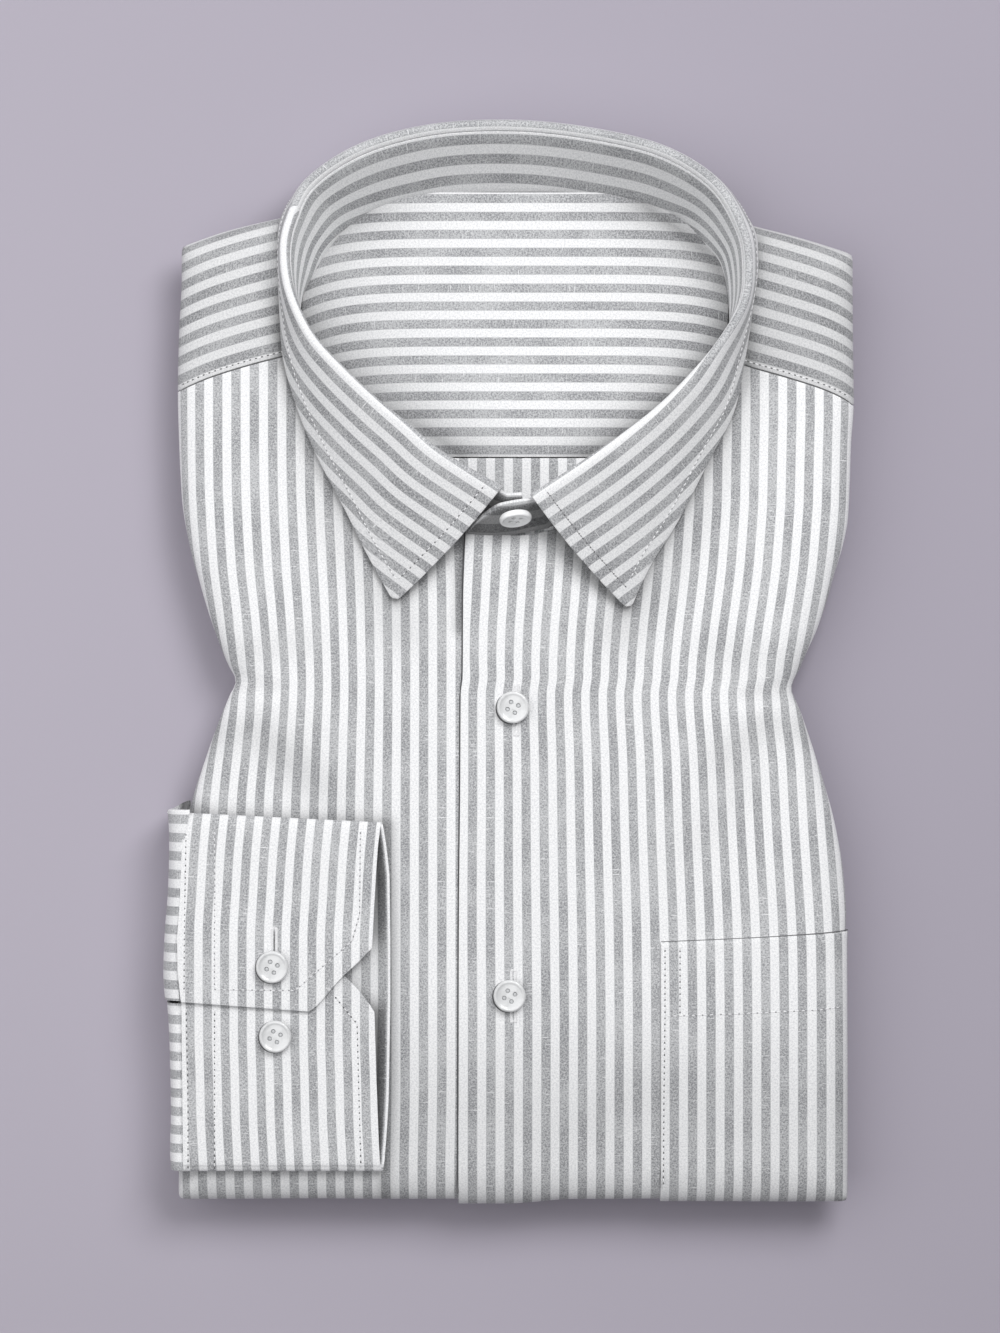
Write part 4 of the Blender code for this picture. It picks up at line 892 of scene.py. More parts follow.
def build_sleeve(material):
    upper = spaced(SLEEVE[0][0], SLIT_TOP, CLOTH_STEP)
    lower = spaced(SLIT_FOOT, SLEEVE[-1][0], CLOTH_STEP)
    roll_rows = np.array(SLEEVE_TOP_ROLL[::-1])
    y = np.concatenate([np.full(len(roll_rows), SLEEVE[0][0]), upper, lower])[None, :]
    shift, drop, peep = (
        np.concatenate([roll_rows[:, k], np.zeros(len(upper) + len(lower))])[None, :] for k in range(3)
    )
    path = smooth_rows(SLEEVE_PATH, PATH_STEPS)
    share, inward, z = (path[:, k][:, None] for k in range(3))
    seam_x = curve(SLEEVE)(y) + SLEEVE_TUCK
    x = mix(seam_x, curve(SLEEVE, 2)(y), share) + inward
    near_seam = 1 - smooth(share)
    above_slit = y > (SLIT_TOP + SLIT_FOOT) / 2
    raised = np.where(above_slit, UPPER_SLEEVE_LIFT, LOWER_SLEEVE_LIFT) * near_seam
    over_top = 1 - smooth((share - TOP_ROLL_SHARE) / TOP_ROLL_FADE)
    placed_y = y + (shift + SLEEVE_PEEP * peep * near_seam) * over_top
    placed_z = np.broadcast_to(z, x.shape) + raised + drop * over_top
    points = np.stack([x, placed_y, placed_z], axis=-1)
    u = np.where(above_slit, SLEEVE_STRIPE, SLEEVE_LOWER_STRIPE) - y + drop
    cloth = np.stack([np.broadcast_to(u, x.shape), travelled(path[:, 1:])[:, None] - x], axis=-1)
    keep = np.ones((x.shape[0] - 1, x.shape[1] - 1), bool)
    keep[: SLIT_END * PATH_STEPS, len(roll_rows) + len(upper) - 1] = False
    shade = 1 - PEEP_SHADE * smooth((PEEP_DROP - drop) / 1.2) * smooth((x - PEEP_SHADE_X) / 2.5)
    return shell("sleeve_form", points, cloth, SLEEVE_WALL, material, keep=keep, shade=shade)


# -------------------------------------------------------------------------------------- hidden folds


def rim_stations():
    """Round the packet from its lower left corner: the roll's middle and the level way out of it."""
    corner = [(1.0, share) for share in (0.0, 0.35, 0.6, 0.8, 0.92, 1.0)]
    corner += [(share, 1.0) for share in (0.92, 0.8, 0.6, 0.35, 0.0)]

    def direction(side, end):
        size = (abs(side) ** CORNER_POWER + abs(end) ** CORNER_POWER) ** (1 / CORNER_POWER)
        return side / size, end / size

    stations = []
    left_x, right_x = roll_start(-1, END_LINE), roll_start(1, END_LINE)
    left_top, right_top = LEFT_SIDE[0][0] - FOLD_REACH, RIGHT_SIDE[0][0] - FOLD_REACH
    left_top_x, right_top_x = roll_start(-1, left_top), roll_start(1, right_top)
    for x in spaced(left_x, right_x, END_STEP)[1:-1]:
        stations.append((x, END_LINE, 0.0, -1.0))
    stations += [(right_x, END_LINE, *direction(side, -end)) for side, end in reversed(corner)]
    for y in spaced(END_LINE, right_top, SIDE_STEP)[1:-1]:
        stations.append((roll_start(1, y), y, 1.0, 0.0))
    stations += [(right_top_x, right_top, *direction(side, end)) for side, end in corner]
    for x in spaced(right_top_x, left_top_x, END_STEP)[1:-1]:
        stations.append((x, shoulder_edge(x) - FOLD_REACH, 0.0, 1.0))
    stations += [(left_top_x, left_top, *direction(-side, end)) for side, end in reversed(corner)]
    for y in spaced(left_top, END_LINE, SIDE_STEP)[1:-1]:
        stations.append((roll_start(-1, y), y, -1.0, 0.0))
    stations += [(left_x, END_LINE, *direction(-side, -end)) for side, end in corner]
    return np.array(stations, float)


def loft(name, rings, cloth):
    """A closed mesh from rings of equal count, first ring lowest."""
    levels, count = rings.shape[:2]
    number = np.arange(levels * count).reshape(levels, count)
    following = np.roll(number, -1, axis=1)
    faces = np.stack([number[:-1], following[:-1], following[1:], number[1:]], axis=-1)
    ends = [number[0][::-1].tolist(), number[-1].tolist()]
    return cloth_mesh(name, rings, faces.reshape(-1, 4).tolist() + ends, cloth)


def build_hidden_folds(material):
    rolled = [(CORE_REACH * math.sin(t), FOLD_MIDDLE + CORE_RISE * math.cos(t)) for t in CORE_TURNS]
    levels = smooth_rows(rolled + LAYER_EDGES, 2)[::-1]
    stations = rim_stations()
    x, y, dx, dy = stations.T
    rings = []
    flat = []
    climbed = travelled(levels)
    for (reach, z), run in zip(levels, climbed[-1] - climbed):
        z = max(z, 0.0)
        wave = LAYER_WAVE * np.sin(x / 17.0 + y / 21.0 + z)
        wave = wave + LAYER_RIPPLE * np.sin(x / 7.0 - y / 9.0 + 2.1 * z)
        wide = reach + np.where(z > LAYERS_TOP, 0.0, np.minimum(wave, MOST_WAVE))
        top = shoulder_edge(x + dx * wide * FOLD_REACH / CORE_REACH) - FOLD_REACH
        ring_y = np.where(dy > 0, top, y) + wide * dy
        rings.append(np.stack([x + wide * dx, ring_y, np.full(x.shape, z)], axis=-1))
        flat.append(np.stack([x + run * dx, y + run * dy], axis=-1))
    piece = new_object("folds_form", loft("hidden_folds", np.array(rings), np.array(flat)), material)
    well_rings = []
    for spread_share, z in ((0.0, WELL_FLOOR), (1.0, WELL_TOP)):
        ring = []
        for row, spread in zip(COLLAR, WELL_FLARE):
            base, edge = Vector(row[0:2]), Vector(row[6:8])
            way = (edge - Vector(row[3:5])).normalized()
            ring.append((*(base + way * (WELL_WALL + spread_share * spread)), z))
        well_rings.append(ring[::-1])
    well = np.array(well_rings)
    well_cloth = np.stack([well[..., 0], well[..., 1] + well[..., 2]], axis=-1)
    cutter = new_object("neck_well", loft("neck_well", well, well_cloth), material)
    subtract(piece, cutter)
    whole = worked_out(piece)
    piece.modifiers.clear()
    piece.data = whole
    whole.name = "hidden_folds"
    bpy.data.objects.remove(cutter)
    return piece


# ------------------------------------------------------------------------------------------ buttons


def hole_middles():
    """x, y of the middles of a button's four holes."""
    reach = HOLE_PITCH / math.sqrt(2)
    turns = [HOLE_TURN + math.pi / 4 + k * math.pi / 2 for k in range(4)]
    return [(reach * math.cos(turn), reach * math.sin(turn)) for turn in turns]


def button_mesh(material):
    """A turned button with four holes, its back at z = 0."""
    turned = bmesh.new()
    rings = []
    for radius, z in smooth_rows(BUTTON_PROFILE, 2)[1:-1]:
        ring = [Vector((radius * cosine, radius * sine, z)) * MM for cosine, sine in circle(BUTTON_SIDES)]
        rings.append([turned.verts.new(spot) for spot in ring])
    for upper, lower in zip(rings, rings[1:]):
        for k in range(BUTTON_SIDES):
            following = (k + 1) % BUTTON_SIDES
            turned.faces.new((upper[k], lower[k], lower[following], upper[following]))
    turned.faces.new(rings[0])
    turned.faces.new(reversed(rings[-1]))
    blank = new_object("button_blank", mesh_of("button_blank", turned), material)
    holes = bmesh.new()
    for x, y in hole_middles():
        bmesh.ops.create_cone(
            holes, cap_ends=True, segments=HOLE_SIDES, radius1=HOLE_RADIUS * MM, radius2=HOLE_RADIUS * MM,
            depth=HOLE_DEPTH * MM, matrix=Matrix.Translation(Vector((x, y, 0.0)) * MM),
        )
    cutter = new_object("button_holes", mesh_of("button_holes", holes), material)
    subtract(blank, cutter)
    soften(blank, HOLE_SOFTNESS, 50)
    mesh = worked_out(blank)
    mesh.name = "button"
    mesh.shade_smooth()
    mesh.set_sharp_from_angle(angle=math.radians(45))
    bpy.data.objects.remove(blank)
    bpy.data.objects.remove(cutter)
    return mesh


def build_buttons(material, lit_collar_material):
    base, top = Vector(OVER_END[0][:3]), Vector(OVER_END[0][3:])
    out = (top - base).cross(Vector((-1, 0, 0))).normalized()
    collar_place = base.lerp(top, COLLAR_BUTTON_SHARE) + out * (COLLAR_SOLID_WALL + BUTTON_GAP)
    collar_turn = out.to_track_quat("Z", "Y").to_matrix().to_4x4()
    lean = Matrix.Rotation(COLLAR_BUTTON_TWIST, 4, "Z") @ Matrix.Rotation(COLLAR_BUTTON_LEAN, 4, "X")
    places = {"button_collar": Matrix.Translation(collar_place * MM) @ lean @ collar_turn}
    for number, (x, y) in enumerate(FRONT_BUTTONS, 1):
        z = PACKET_TOP + LAP_RISE + BUTTON_GAP
        places[f"button_front_{number}"] = Matrix.Translation(Vector((x, y, z)) * MM)
    for number, (x, y, z) in enumerate(CUFF_BUTTONS, 1):
        places[f"button_cuff_{number}"] = Matrix.Translation(Vector((x, y, z + BUTTON_GAP)) * MM)
    mesh = button_mesh(material)
    # the collar button gets the lighter pearl, as painted light
    collar_mesh = mesh.copy()
    collar_mesh.materials[0] = lit_collar_material
    made = {}
    for node, place in places.items():
        made[node] = placed("button_form", collar_mesh if node == "button_collar" else mesh)
        made[node].matrix_world = place
    return made


# ------------------------------------------------------------------------------------------- sewing

STITCH_PITCH = 2.2
STITCH_LENGTH = 1.35
THREAD_RADIUS = 0.22
# the pits between stitches are dark marks of painted shade
PIT_LENGTH = 0.8
PIT_RADIUS = 0.25
THREAD_SIDES = 6
THREAD_RINGS = [  # place along it, in lengths, and size and rise, in radii
    (-0.5, 0.35, -0.9), (-0.3, 0.95, 0.0), (0.3, 0.95, 0.0), (0.5, 0.35, -0.9),
]
LINE_STEP = 0.4
SLOPE_STEP = 0.3
SATIN_PITCH = 0.42
SATIN_WIDTH = 1.25
SATIN_RADIUS = 0.26
SLIT_HALF = 0.16
BAR_SHIFTS = (-0.8, -0.3, 0.3, 0.8)
BAR_LENGTH = 1.3
SLIT_SHORT = 0.6
SLIT_RISE = 0.1
ACROSS = (1.0, 0.0, 0.0)
DOWN = (0.0, 1.0, 0.0)
RING_REACH = 5.5
RING_RADIUS = 0.5
RING_SHIFT = (-0.45, -0.4)
YOKE_STITCH = 1.55
YOKE_STITCH_START = 77.0
YOKE_STITCH_END = {-1: -118.3, 1: 121.8}
YOKE_GAP, YOKE_GAP_RADIUS = 0.3, 0.14  # how far off the edge a gap's shade lies, and its radius
MOUTH_GAP, MOUTH_GAP_RADIUS = 0.35, 0.2
MOUTH_RISE = 0.1
LAP_GAP, LAP_GAP_RADIUS = 0.3, 0.32
LAP_GAP_ENDS = (46.0, -192.0)
POCKET_GAP = [(53.7, -101.6), (53.7, -190.0)]  # x, y along its inner edge
POCKET_GAP_RADIUS = 0.1
COLLAR_STITCH = 5.4
FRONT_EDGE_PLACES = 60
POCKET_STITCHES = [  # x, y along each row
    [(55.7, -128.2), (82.3, -127.3), (111.5, -125.9), (119.5, -125.1)],
    [(55.4, -102.5), (55.4, -128.0), (55.0, -160.0), (54.8, -188.8)],
    [(60.8, -102.6), (60.8, -128.2)],
]
UPPER_CUFF_STITCHES = [
    [(-116.4, -56.2), (-116.9, -85.9), (-117.1, -119.6)],
    [(-106.2, -56.8), (-106.2, -118.0), (-77.4, -118.4), (-56.9, -100.6), (-54.3, -91.0),
     (-54.0, -62.0)],
]
LOWER_CUFF_STITCHES = [
    [(-116.5, -124.7), (-115.8, -157.8), (-115.8, -182.2)],
    [(-106.3, -124.9), (-106.3, -182.2)],
    [(-53.8, -182.2), (-54.5, -157.8), (-55.2, -130.5), (-63.4, -120.4)],
]
FRONT_BUTTONHOLES = [(1.9, -9.1, -27.0), (0.9, -111.6, -130.0)]  # x, y of its two ends
CUFF_BUTTONHOLE = (-84.8, -96.3, -114.0)
THREAD_KIND, PAINTED_SHADE_KIND, SOFT_SHADE_KIND = range(3)  # the materials of all sewing, in their order: thread, dark painted shade, soft painted shade
PEEP_GAP = [(-117.0, -54.8), (-116.2, -51.6)]  # x, y along the gap between the cuff and the peep
PEEP_GAP_HEIGHT = 29.6
PEEP_GAP_RADIUS = 0.75
LOWER_CUFF_TOP = 31.25


def packet_height(x, y, out=0.0):
    """How high the packet's top lies, out off its skin, at a place seen from above."""
    side = np.where(x > 0, 1, -1)
    start = np.where(x > 0, roll_start(1, y), roll_start(-1, y))
    over = np.clip(side * (x - start) / (FOLD_REACH + out), 0.0, 1.0)
    return FOLD_MIDDLE + (FOLD_RISE + out) * np.sqrt(1 - over**2) + relief(x, y)


def front_height(x, y):
    return packet_height(x, y) + lap_rise(x, y)


def mouth_height(x, y):
    return front_height(x, y) + MOUTH_RISE * smooth((x - 90.0) / 20.0)


def pocket_height(x, y):
    return packet_height(x, y, LYING_GAP + POCKET_WALL)


def upper_cuff_height(_, y):
    return curve(CUFF[:7])(y - CUFF_SKEW * 0.3)


def flat_height(z):
    return lambda _, y: np.full(np.shape(y), z)


def placed_along(at, reach, rows):
    """A line's rows of numbers at places along it, where reach is each row's own place."""
    return np.stack([np.interp(at, reach, column) for column in rows.T], axis=-1)


def laid_line(corners, height):
    """A line's points a short step apart, laid on a surface, and the surface's normal at each."""
    corners = np.array(corners, float)
    reach = travelled(corners)
    x, y = placed_along(spaced(0.0, reach[-1], LINE_STEP), reach, corners).T
    slope_x = (height(x + SLOPE_STEP, y) - height(x - SLOPE_STEP, y)) / (2 * SLOPE_STEP)
    slope_y = (height(x, y + SLOPE_STEP) - height(x, y - SLOPE_STEP)) / (2 * SLOPE_STEP)
    normal = np.stack([-slope_x, -slope_y, np.ones(len(x))], axis=-1)
    return np.stack([x, y, height(x, y)], axis=-1), unit(normal)


def tube_faces(rings, sides):
    """The faces of a closed tube whose points are numbered ring by ring."""
    faces = [tuple(range(sides - 1, -1, -1)), tuple(range((rings - 1) * sides, rings * sides))]
    for ring in range(rings - 1):
        for k in range(sides):
            here, following = ring * sides + k, ring * sides + (k + 1) % sides
            faces.append((here, following, following + sides, here + sides))
    return faces


def threads(middle, along, normal, length, radius):
    """Short threads as points and faces. Each lies along its own way and dips into the cloth."""
    across = unit(np.cross(normal, along))
    rings = []
    for shift, size, rise in THREAD_RINGS:
        for cosine, sine in circle(THREAD_SIDES):
            side, up = size * radius * cosine, radius * (size * sine + rise)
            rings.append(middle + along * (shift * length) + across * side + normal * up)
    points = np.stack(rings, axis=1)
    one = tube_faces(len(THREAD_RINGS), THREAD_SIDES)
    faces = [tuple(len(rings) * n + k for k in face) for n in range(len(points)) for face in one]
    return points.reshape(-1, 3), faces


def joined(name, parts, materials):
    """One mesh from several (points, faces, number of its material)."""
    mesh = bpy.data.meshes.new(name)
    points, faces, kinds = [], [], []
    for part_points, part_faces, kind in parts:
        start = sum(len(p) for p in points)
        points.append(part_points)
        faces += [tuple(start + k for k in face) for face in part_faces]
        kinds += [kind] * len(part_faces)
    mesh.from_pydata((np.concatenate(points) * MM).tolist(), [], faces)
    piece = new_object(name, mesh, materials[0])
    for material in materials[1:]:
        mesh.materials.append(material)
    mesh.polygons.foreach_set("material_index", kinds)
    mesh.shade_smooth()
    mesh.update()
    return piece


def stitched(line, normal, pit_shade=PAINTED_SHADE_KIND, thread=THREAD_KIND):
    """The threads, and between them the pits drawn as dark marks of painted shade, along one row of sewing.
    The last two arguments are the pits' and the threads' materials.
    """
    reach = travelled(line)
    parts = []
    for start, length, radius, kind in (
        (0.5, STITCH_LENGTH, THREAD_RADIUS, thread),
        (1.0, PIT_LENGTH, PIT_RADIUS, pit_shade),
    ):
        at = np.arange(start * STITCH_PITCH, reach[-1], STITCH_PITCH)
        steps = (-LINE_STEP, 0.0, LINE_STEP)
        behind, middle, ahead = (placed_along(at + step, reach, line) for step in steps)
        up = unit(placed_along(at, reach, normal))
        parts.append((*threads(middle, unit(ahead - behind), up, length, radius), kind))
    return parts


def shaded_gap(corners, height, radius):
    """The shade in the gap beside an edge that lies on other cloth, as one long thin cord."""
    line, normal = laid_line(corners, height)
    along = unit(np.gradient(line, axis=0))
    across = unit(np.cross(normal, along))
    rings = []
    for cosine, sine in circle(THREAD_SIDES):
        rings.append(line + radius * (across * cosine + normal * (sine - 0.5)))
    return np.stack(rings, axis=1).reshape(-1, 3), tube_faces(len(line), THREAD_SIDES), PAINTED_SHADE_KIND


def ring_under(x, y):
    """Round under a button's rim, a little to the side that the light does not reach."""
    turn = np.linspace(0.0, 2 * math.pi, 49)
    x, y = x + RING_SHIFT[0], y + RING_SHIFT[1]
    return np.stack([x + RING_REACH * np.cos(turn), y + RING_REACH * np.sin(turn)], axis=-1)


def level_threads(places, height, along, length, radius, lift=0.0):
    """Threads that all lie one way on a surface, at places x, y."""
    x, y = np.array(places).T
    middle = np.stack([x, y, height(x, y) + lift], axis=-1)
    ways = (np.tile(way, (len(x), 1)) for way in (along, (0.0, 0.0, 1.0)))
    return threads(middle, *ways, length, radius)


def buttonhole(x, top, foot, height):
    """Satin stitches down both sides of a slit and round its ends, and the slit's shade."""
    parts = []
    for side in (-1, 1):
        y = np.arange(foot, top, SATIN_PITCH)
        row = np.stack([np.full(len(y), x + side * (SLIT_HALF + SATIN_WIDTH / 2)), y], axis=-1)
        parts.append((*level_threads(row, height, ACROSS, SATIN_WIDTH, SATIN_RADIUS), THREAD_KIND))
    bars = [(x + shift, end) for end in (top, foot) for shift in BAR_SHIFTS]
    parts.append((*level_threads(bars, height, DOWN, BAR_LENGTH, SATIN_RADIUS), THREAD_KIND))
    middle, length = [(x, (top + foot) / 2)], top - foot - SLIT_SHORT
    parts.append((*level_threads(middle, height, DOWN, length, SLIT_HALF, SLIT_RISE), PAINTED_SHADE_KIND))
    return parts


def collar_lines(leaf):
    """The leaf's row of sewing, along its outer edge and both its front edges."""
    normal = normals_of(leaf)
    back = travelled(leaf[:, ::-1], 1)[:, ::-1]
    row_at = np.array([np.interp(-COLLAR_STITCH, -line, np.arange(leaf.shape[1])) for line in back])
    number = np.arange(len(leaf))
    outer = sampled(leaf, normal, number, row_at)
    lines = []
    rows = np.linspace(LEAF_TOP, row_at[0], FRONT_EDGE_PLACES)
    ends = []
    for sections in (leaf, leaf[::-1]):
        run = travelled(sections)
        slant = unit(sections[0, -1] - sections[0, LEAF_TOP - 1])
        way = unit(sections[20, 20] - sections[0, 20])
        lean = math.sqrt(max(1e-6, 1 - float(slant @ way) ** 2))
        column = np.array([np.interp(COLLAR_STITCH / lean, run[:, int(j)], number) for j in rows])
        ends.append(column[-1])
        if sections is not leaf:
            column = len(leaf) - 1 - column
        lines.append(sampled(leaf, normal, column, rows))
    inside = (number > ends[0]) & (number < len(leaf) - 1 - ends[1])
    lines.append((outer[0][inside], outer[1][inside]))
    return lines


def sampled(points, normal, column, row):
    """A grid's points and normals at places between its own."""
    i = np.clip(np.floor(column).astype(int), 0, points.shape[0] - 2)
    j = np.clip(np.floor(row).astype(int), 0, points.shape[1] - 2)
    s, t = (column - i)[:, None], (row - j)[:, None]
    made = []
    for grid in (points, normal):
        near = mix(grid[i, j], grid[i + 1, j], s)
        far = mix(grid[i, j + 1], grid[i + 1, j + 1], s)
        made.append(mix(near, far, t))
    return made


def build_sewing(leaf_grid, materials):
    """Each piece's rows of stitches, with the dark cords of painted shade in its gaps and under its
    buttons, as one mesh for each piece.
    """
    nodes = ("pocket", "cuff", "yoke_left", "yoke_right", "collar_leaf", "front_over")
    rows = {node: [] for node in nodes}
    for lines, height, node in (
        (POCKET_STITCHES, pocket_height, "pocket"),
        (UPPER_CUFF_STITCHES, upper_cuff_height, "cuff"),
        (LOWER_CUFF_STITCHES, flat_height(LOWER_CUFF_TOP), "cuff"),
    ):
        for corners in lines:
            # these rows get the softer painted shade between their stitches
            faint = corners in (POCKET_STITCHES[0], UPPER_CUFF_STITCHES[1])
            rows[node] += stitched(*laid_line(corners, height), pit_shade=SOFT_SHADE_KIND if faint else PAINTED_SHADE_KIND)
    for side, node in ((-1, "yoke_left"), (1, "yoke_right")):
        x = spaced(side * YOKE_STITCH_START, YOKE_STITCH_END[side], 2.0)
        corners = np.stack([x, SEAM[side](x) + YOKE_STITCH], axis=-1)
        rows[node] += stitched(*laid_line(corners, packet_height))
        gap = corners - (0.0, YOKE_STITCH + YOKE_GAP)
        rows[node].append(shaded_gap(gap, packet_height, YOKE_GAP_RADIUS))
    *fronts, outer = collar_lines(leaf_grid)
    # the right front row's threads, and the outer row's pits, are drawn in the softer painted shade
    for (line, normal), kind in zip(fronts, (THREAD_KIND, SOFT_SHADE_KIND)):
        rows["collar_leaf"] += stitched(line, normal, thread=kind)
    rows["collar_leaf"] += stitched(*outer, pit_shade=SOFT_SHADE_KIND)
    mouth = np.array(POCKET_MOUTH) + (0.0, MOUTH_GAP)
    rows["pocket"].append(shaded_gap(mouth, mouth_height, MOUTH_GAP_RADIUS))
    rows["pocket"].append(shaded_gap(POCKET_GAP, front_height, POCKET_GAP_RADIUS))
    y = spaced(*LAP_GAP_ENDS, 4.0)
    lap = np.stack([front_edge(y) - LAP_GAP, y], axis=-1)
    rows["front_over"].append(shaded_gap(lap, packet_height, LAP_GAP_RADIUS))
    for x, top, foot in FRONT_BUTTONHOLES:
        rows["front_over"] += buttonhole(x, top, foot, front_height)
    rows["cuff"] += buttonhole(*CUFF_BUTTONHOLE, upper_cuff_height)
    for x, y in FRONT_BUTTONS:
        rows["front_over"].append(shaded_gap(ring_under(x, y), front_height, RING_RADIUS))
    for x, y, z in CUFF_BUTTONS:
        rows["cuff"].append(shaded_gap(ring_under(x, y), flat_height(z), RING_RADIUS))
    rows["cuff"].append(shaded_gap(PEEP_GAP, flat_height(PEEP_GAP_HEIGHT), PEEP_GAP_RADIUS))
    return {node: joined(f"{node}_stitches", parts, materials) for node, parts in rows.items()}


def build_button_threads(places, material):
    """The thread that fills each button's holes, coloured darker than the white thread as painted shade in
    the holes.
    """
    parts = []
    for place in places:
        for x, y in hole_middles():
            spots = [
                Vector((x + size * cosine, y + size * sine, z))
                for z, size in PLUG_LEVELS for cosine, sine in circle(PLUG_SIDES)
            ]
            points = np.array([tuple((place @ (spot * MM)) / MM) for spot in spots])
            parts.append((points, tube_faces(len(PLUG_LEVELS), PLUG_SIDES), 0))
    return joined("button_threads", parts, [material])


# ---------------------------------------------------------------------------------------- materials


class Graph:
    """A material's nodes, added one by one. A socket is linked and a number is set."""

    def __init__(self, name):
        self.material = bpy.data.materials.new(name)
        self.material.use_nodes = True
        self.tree = self.material.node_tree
        self.shader = self.tree.nodes["Principled BSDF"]

    def put(self, socket, value):
        if isinstance(value, bpy.types.NodeSocket):
            self.tree.links.new(value, socket)
        else:
            socket.default_value = value

    def node(self, kind, inputs, **settings):
        made = self.tree.nodes.new(kind)
        for key, value in settings.items():
            setattr(made, key, value)
        for key, value in inputs.items():
            self.put(made.inputs[key], value)
        return made

    def math(self, operation, *values):
        inputs = dict(enumerate(values))
        return self.node("ShaderNodeMath", inputs, operation=operation).outputs[0]

    def ramp(self, value, low, high, to_low=0.0, to_high=1.0):
        inputs = {"Value": value, "From Min": low, "From Max": high, "To Min": to_low, "To Max": to_high}
        made = self.node("ShaderNodeMapRange", inputs, interpolation_type="SMOOTHSTEP")
        return made.outputs["Result"]

    def noise(self, vector, scale, detail=2.0):
        inputs = {"Vector": vector, "Scale": scale, "Detail": detail}
        return self.node("ShaderNodeTexNoise", inputs).outputs["Fac"]

    def stretch(self, vector, x, y):
        inputs = {"Vector": vector, "Scale": (x, y, 1.0)}
        return self.node("ShaderNodeMapping", inputs).outputs["Vector"]

    def blend(self, share, a, b):
        inputs = {"Factor": share, "A": a, "B": b}
        return self.node("ShaderNodeMix", inputs, data_type="RGBA").outputs["Result"]

    def set(self, **values):
        for key, value in values.items():
            self.put(self.shader.inputs[key.replace("_", " ")], value)


WHITE_THREAD = (0.83, 0.83, 0.84, 1.0)
WHITE_CLOTH = ((0.66, 0.665, 0.68, 1.0), (0.87, 0.87, 0.875, 1.0))  # its shaded and its lit threads
GREY_CLOTH = ((0.23, 0.233, 0.245, 1.0), (0.58, 0.585, 0.595, 1.0))
# painted shade: the dark marks between stitches, in slits, in gaps beside edges and under buttons
PAINTED_SHADE_DARK = (0.12, 0.12, 0.125, 1.0)
# softer painted shade, for the fainter rows of stitches
PAINTED_SHADE_SOFT = (0.33, 0.33, 0.34, 1.0)
# the thread in the buttons' holes, darkened as painted shade in the holes
SHADED_BUTTON_THREAD = (0.58, 0.59, 0.60, 1.0)
THREAD_DARK = 0.85  # how dark a thread's twist is, as a share of its colour
PEARL = ((0.60, 0.605, 0.61, 1.0), (0.72, 0.725, 0.73, 1.0))
# a lighter copy of the pearl for the collar button alone: painted light
LIT_COLLAR_PEARL = ((0.86, 0.865, 0.87, 1.0), (0.93, 0.93, 0.935, 1.0))


# Noise scales are in features to the metre.
RAGGED_SCALE, RAGGED = 1500.0, 0.09
STRIPE_EDGE = (0.225, 0.265)  # share of the stripes' period where white ends and grey is full
COARSE_THREADS, FINE_THREADS = 1500.0, 3200.0
COARSE_SHARE = 0.45
CLOUD_SCALE, CLOUD = 55.0, 0.035
SLUB_STRETCH = (190.0, 2300.0)
SLUB_RANGE = (0.665, 0.74)
SLUB_MOST = 0.75


def cotton(name, shaded=True):
    """Striped shirting: white and heathered grey, with slubs across the grey stripes."""
    g = Graph(name)
    flat = g.node("ShaderNodeUVMap", {}, uv_map="cloth").outputs["UV"]
    parts = g.node("ShaderNodeSeparateXYZ", {"Vector": flat})
    ragged = g.math("MULTIPLY", g.math("SUBTRACT", g.noise(flat, RAGGED_SCALE), 0.5), RAGGED)
    from_white = g.math("PINGPONG", g.math("DIVIDE", parts.outputs["X"], STRIPE * MM), 0.5)
    grey = g.ramp(g.math("ADD", from_white, ragged), *STRIPE_EDGE)
    coarse = g.math("MULTIPLY", g.noise(flat, COARSE_THREADS, 1.0), COARSE_SHARE)
    fine = g.math("MULTIPLY", g.noise(flat, FINE_THREADS), 1 - COARSE_SHARE)
    weave = g.math("ADD", coarse, fine)
    cloud = g.ramp(g.noise(flat, CLOUD_SCALE), 0.3, 0.7, -CLOUD, CLOUD)
    mottle = g.ramp(g.math("ADD", weave, cloud), 0.36, 0.63)
    heather = g.blend(mottle, *GREY_CLOTH)
    slub = g.noise(g.stretch(flat, *SLUB_STRETCH), 1.0, 1.0)
    slubbed = g.blend(g.ramp(slub, *SLUB_RANGE, 0.0, SLUB_MOST), heather, WHITE_THREAD)
    white = g.blend(g.ramp(weave, 0.36, 0.6), *WHITE_CLOTH)
    colour = g.blend(grey, white, slubbed)
    # the shade attribute darkens the cloth's colour: painted shade
    if shaded:
        shade = g.node("ShaderNodeAttribute", {}, attribute_name="shade").outputs["Fac"]
        colour = g.node("ShaderNodeVectorMath", {0: colour, "Scale": shade}, operation="SCALE").outputs[0]
    g.set(Base_Color=colour, Roughness=0.85)
    g.set(Sheen_Weight=0.2, Sheen_Roughness=0.5, Specular_IOR_Level=0.25)
    bump = g.node("ShaderNodeBump", {"Height": weave, "Strength": 0.5, "Distance": 0.00015})
    g.set(Normal=bump.outputs["Normal"])
    return g.material


def thread(name, shade):
    g = Graph(name)
    place = g.node("ShaderNodeTexCoord", {}).outputs["Object"]
    twist = g.noise(place, 3000.0)
    dark = (*(THREAD_DARK * part for part in shade[:3]), 1.0)
    g.set(Base_Color=g.blend(g.ramp(twist, 0.4, 0.6), dark, shade), Roughness=0.7)
    g.set(Sheen_Weight=0.2)
    return g.material


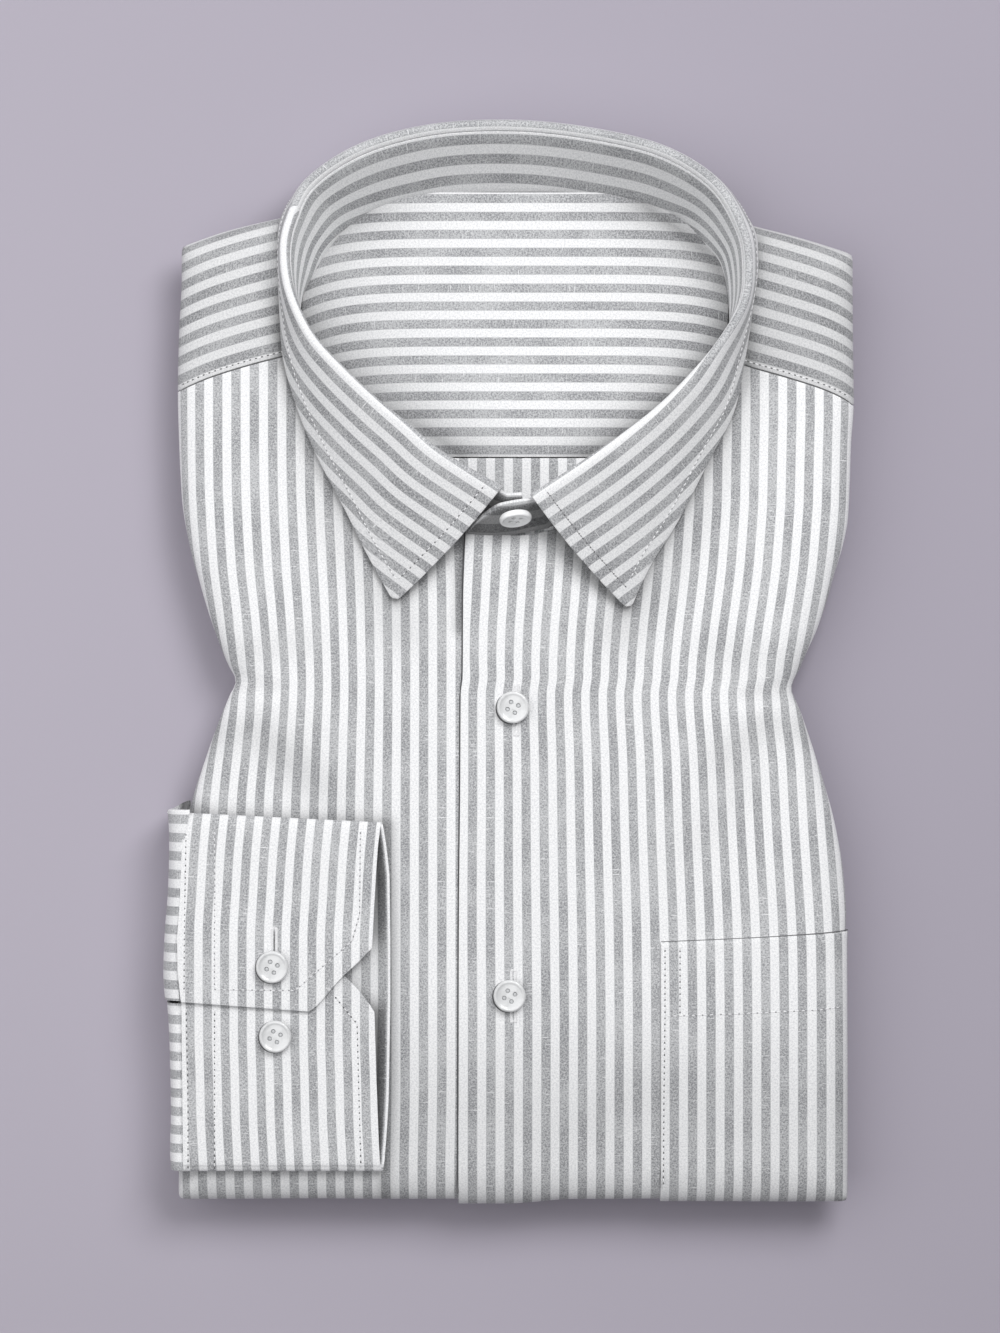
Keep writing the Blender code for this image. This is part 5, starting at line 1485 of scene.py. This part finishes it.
def pearl(name, dark, light):
    g = Graph(name)
    place = g.node("ShaderNodeTexCoord", {}).outputs["Object"]
    cloud = g.noise(place, 260.0, 3.0)
    colour = g.blend(g.ramp(cloud, 0.35, 0.65), dark, light)
    g.set(Base_Color=colour, Roughness=0.25, Coat_Weight=0.6, Coat_Roughness=0.06)
    bump = g.node("ShaderNodeBump", {"Height": cloud, "Strength": 0.1, "Distance": 0.0002})
    g.set(Normal=bump.outputs["Normal"])
    return g.material


PAPER_PAINTED_LIGHT = ((0.420, 0.390, 0.453, 1.0), (0.325, 0.301, 0.356, 1.0))  # painted light fall-off on the floor: its colour at the far left and at the low right
PAPER_TURN = 1.7  # how much more its painted light changes across than up
PAPER_REACH = 0.62


def paper_painted_light(name):
    g = Graph(name)
    place = g.node("ShaderNodeTexCoord", {}).outputs["Object"]
    parts = g.node("ShaderNodeSeparateXYZ", {"Vector": place})
    # a painted gradient of light, lighter towards the left
    slope = g.math("MULTIPLY_ADD", parts.outputs["X"], PAPER_TURN, parts.outputs["Y"])
    g.set(Base_Color=g.blend(g.ramp(slope, -PAPER_REACH, PAPER_REACH), *PAPER_PAINTED_LIGHT), Roughness=0.9)
    return g.material


# ------------------------------------------------------------------------------------ light and camera

CAMERA_HEIGHT = 1300.0
CAMERA_PLACE = (-3.96, -2.34)
SEEN_HEIGHT = 479.88  # of the page, at the shirt's top
FLOOR_SIZE = 6.0
LIGHTS = [  # name, place and size in metres, power in watts
    ("key", (0.40, 0.62, 1.05), 0.6, 11.3),
    ("fill", (-0.60, 0.20, 1.10), 2.0, 15.2),
]
SKY = (0.96, 0.97, 1.0, 1.0)
SKY_STRENGTH = 0.195


def build_stage():
    floor = bmesh.new()
    bmesh.ops.create_grid(floor, x_segments=2, y_segments=2, size=FLOOR_SIZE / 2)
    new_object("floor", mesh_of("floor", floor), paper_painted_light("paper_painted_light"))
    world = bpy.data.worlds.new("studio")
    bpy.context.scene.world = world
    world.use_nodes = True
    sky = world.node_tree.nodes["Background"].inputs
    sky["Color"].default_value = SKY
    sky["Strength"].default_value = SKY_STRENGTH
    for name, place, size, power in LIGHTS:
        data = bpy.data.lights.new(name, "AREA")
        data.size = size
        data.energy = power
        lamp = placed(name, data)
        lamp.location = place
        lamp.rotation_euler = (-Vector(place)).to_track_quat("-Z", "Y").to_euler()
    camera = bpy.data.cameras.new("camera")
    camera.angle = 2 * math.atan(SEEN_HEIGHT / 2 / (CAMERA_HEIGHT - PACKET_TOP))
    camera.clip_start = 0.01
    holder = placed("camera", camera)
    holder.location = Vector((*CAMERA_PLACE, CAMERA_HEIGHT)) * MM
    bpy.context.scene.camera = holder
    bpy.context.scene.view_settings.view_transform = "Standard"


# --------------------------------------------------------------------------------------- the shirt


def wear(piece, node, slot):
    """The piece rides on the shirt and stands for its solid."""
    piece.name = f"{node}_{'pearl' if slot == 'pearl_button' else 'cloth'}"
    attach(piece, "root")
    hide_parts(node)


def main():
    build_stage()
    cloth = cotton("striped_cotton")
    folded = cotton("folded_cotton", shaded=False)
    yoke_inner, back_panel = build_neck_floor(cloth)
    leaf, stand, leaf_grid = build_collar(cloth)
    cloth_pieces = {
        "yoke_inner": yoke_inner,
        "back_panel": back_panel,
        "collar_leaf": leaf,
        "collar_stand": stand,
        "front_under": build_front(-1, cloth),
        "front_over": build_front(1, cloth),
        "yoke_left": build_yoke(-1, cloth),
        "yoke_right": build_yoke(1, cloth),
        "pocket": build_pocket(cloth),
        "sleeve": build_sleeve(cloth),
        "cuff": build_cuff(cloth),
    }
    for node, piece in cloth_pieces.items():
        wear(piece, node, "striped_cotton")
    wear(build_hidden_folds(folded), "hidden_folds", "folded_cotton")
    buttons = build_buttons(pearl("pearl_button", *PEARL), pearl("collar_pearl_painted_light", *LIT_COLLAR_PEARL))
    for node, button in buttons.items():
        wear(button, node, "pearl_button")
    sewn = [
        thread("white_thread", WHITE_THREAD), thread("painted_shade_dark", PAINTED_SHADE_DARK), thread("painted_shade_soft", PAINTED_SHADE_SOFT),
    ]
    sewing = build_sewing(leaf_grid, sewn)
    places = [button.matrix_world.copy() for button in buttons.values()]
    held = build_button_threads(places, thread("button_thread_painted_shade", SHADED_BUTTON_THREAD))
    for piece in [*sewing.values(), held]:
        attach(piece, "root")


main()
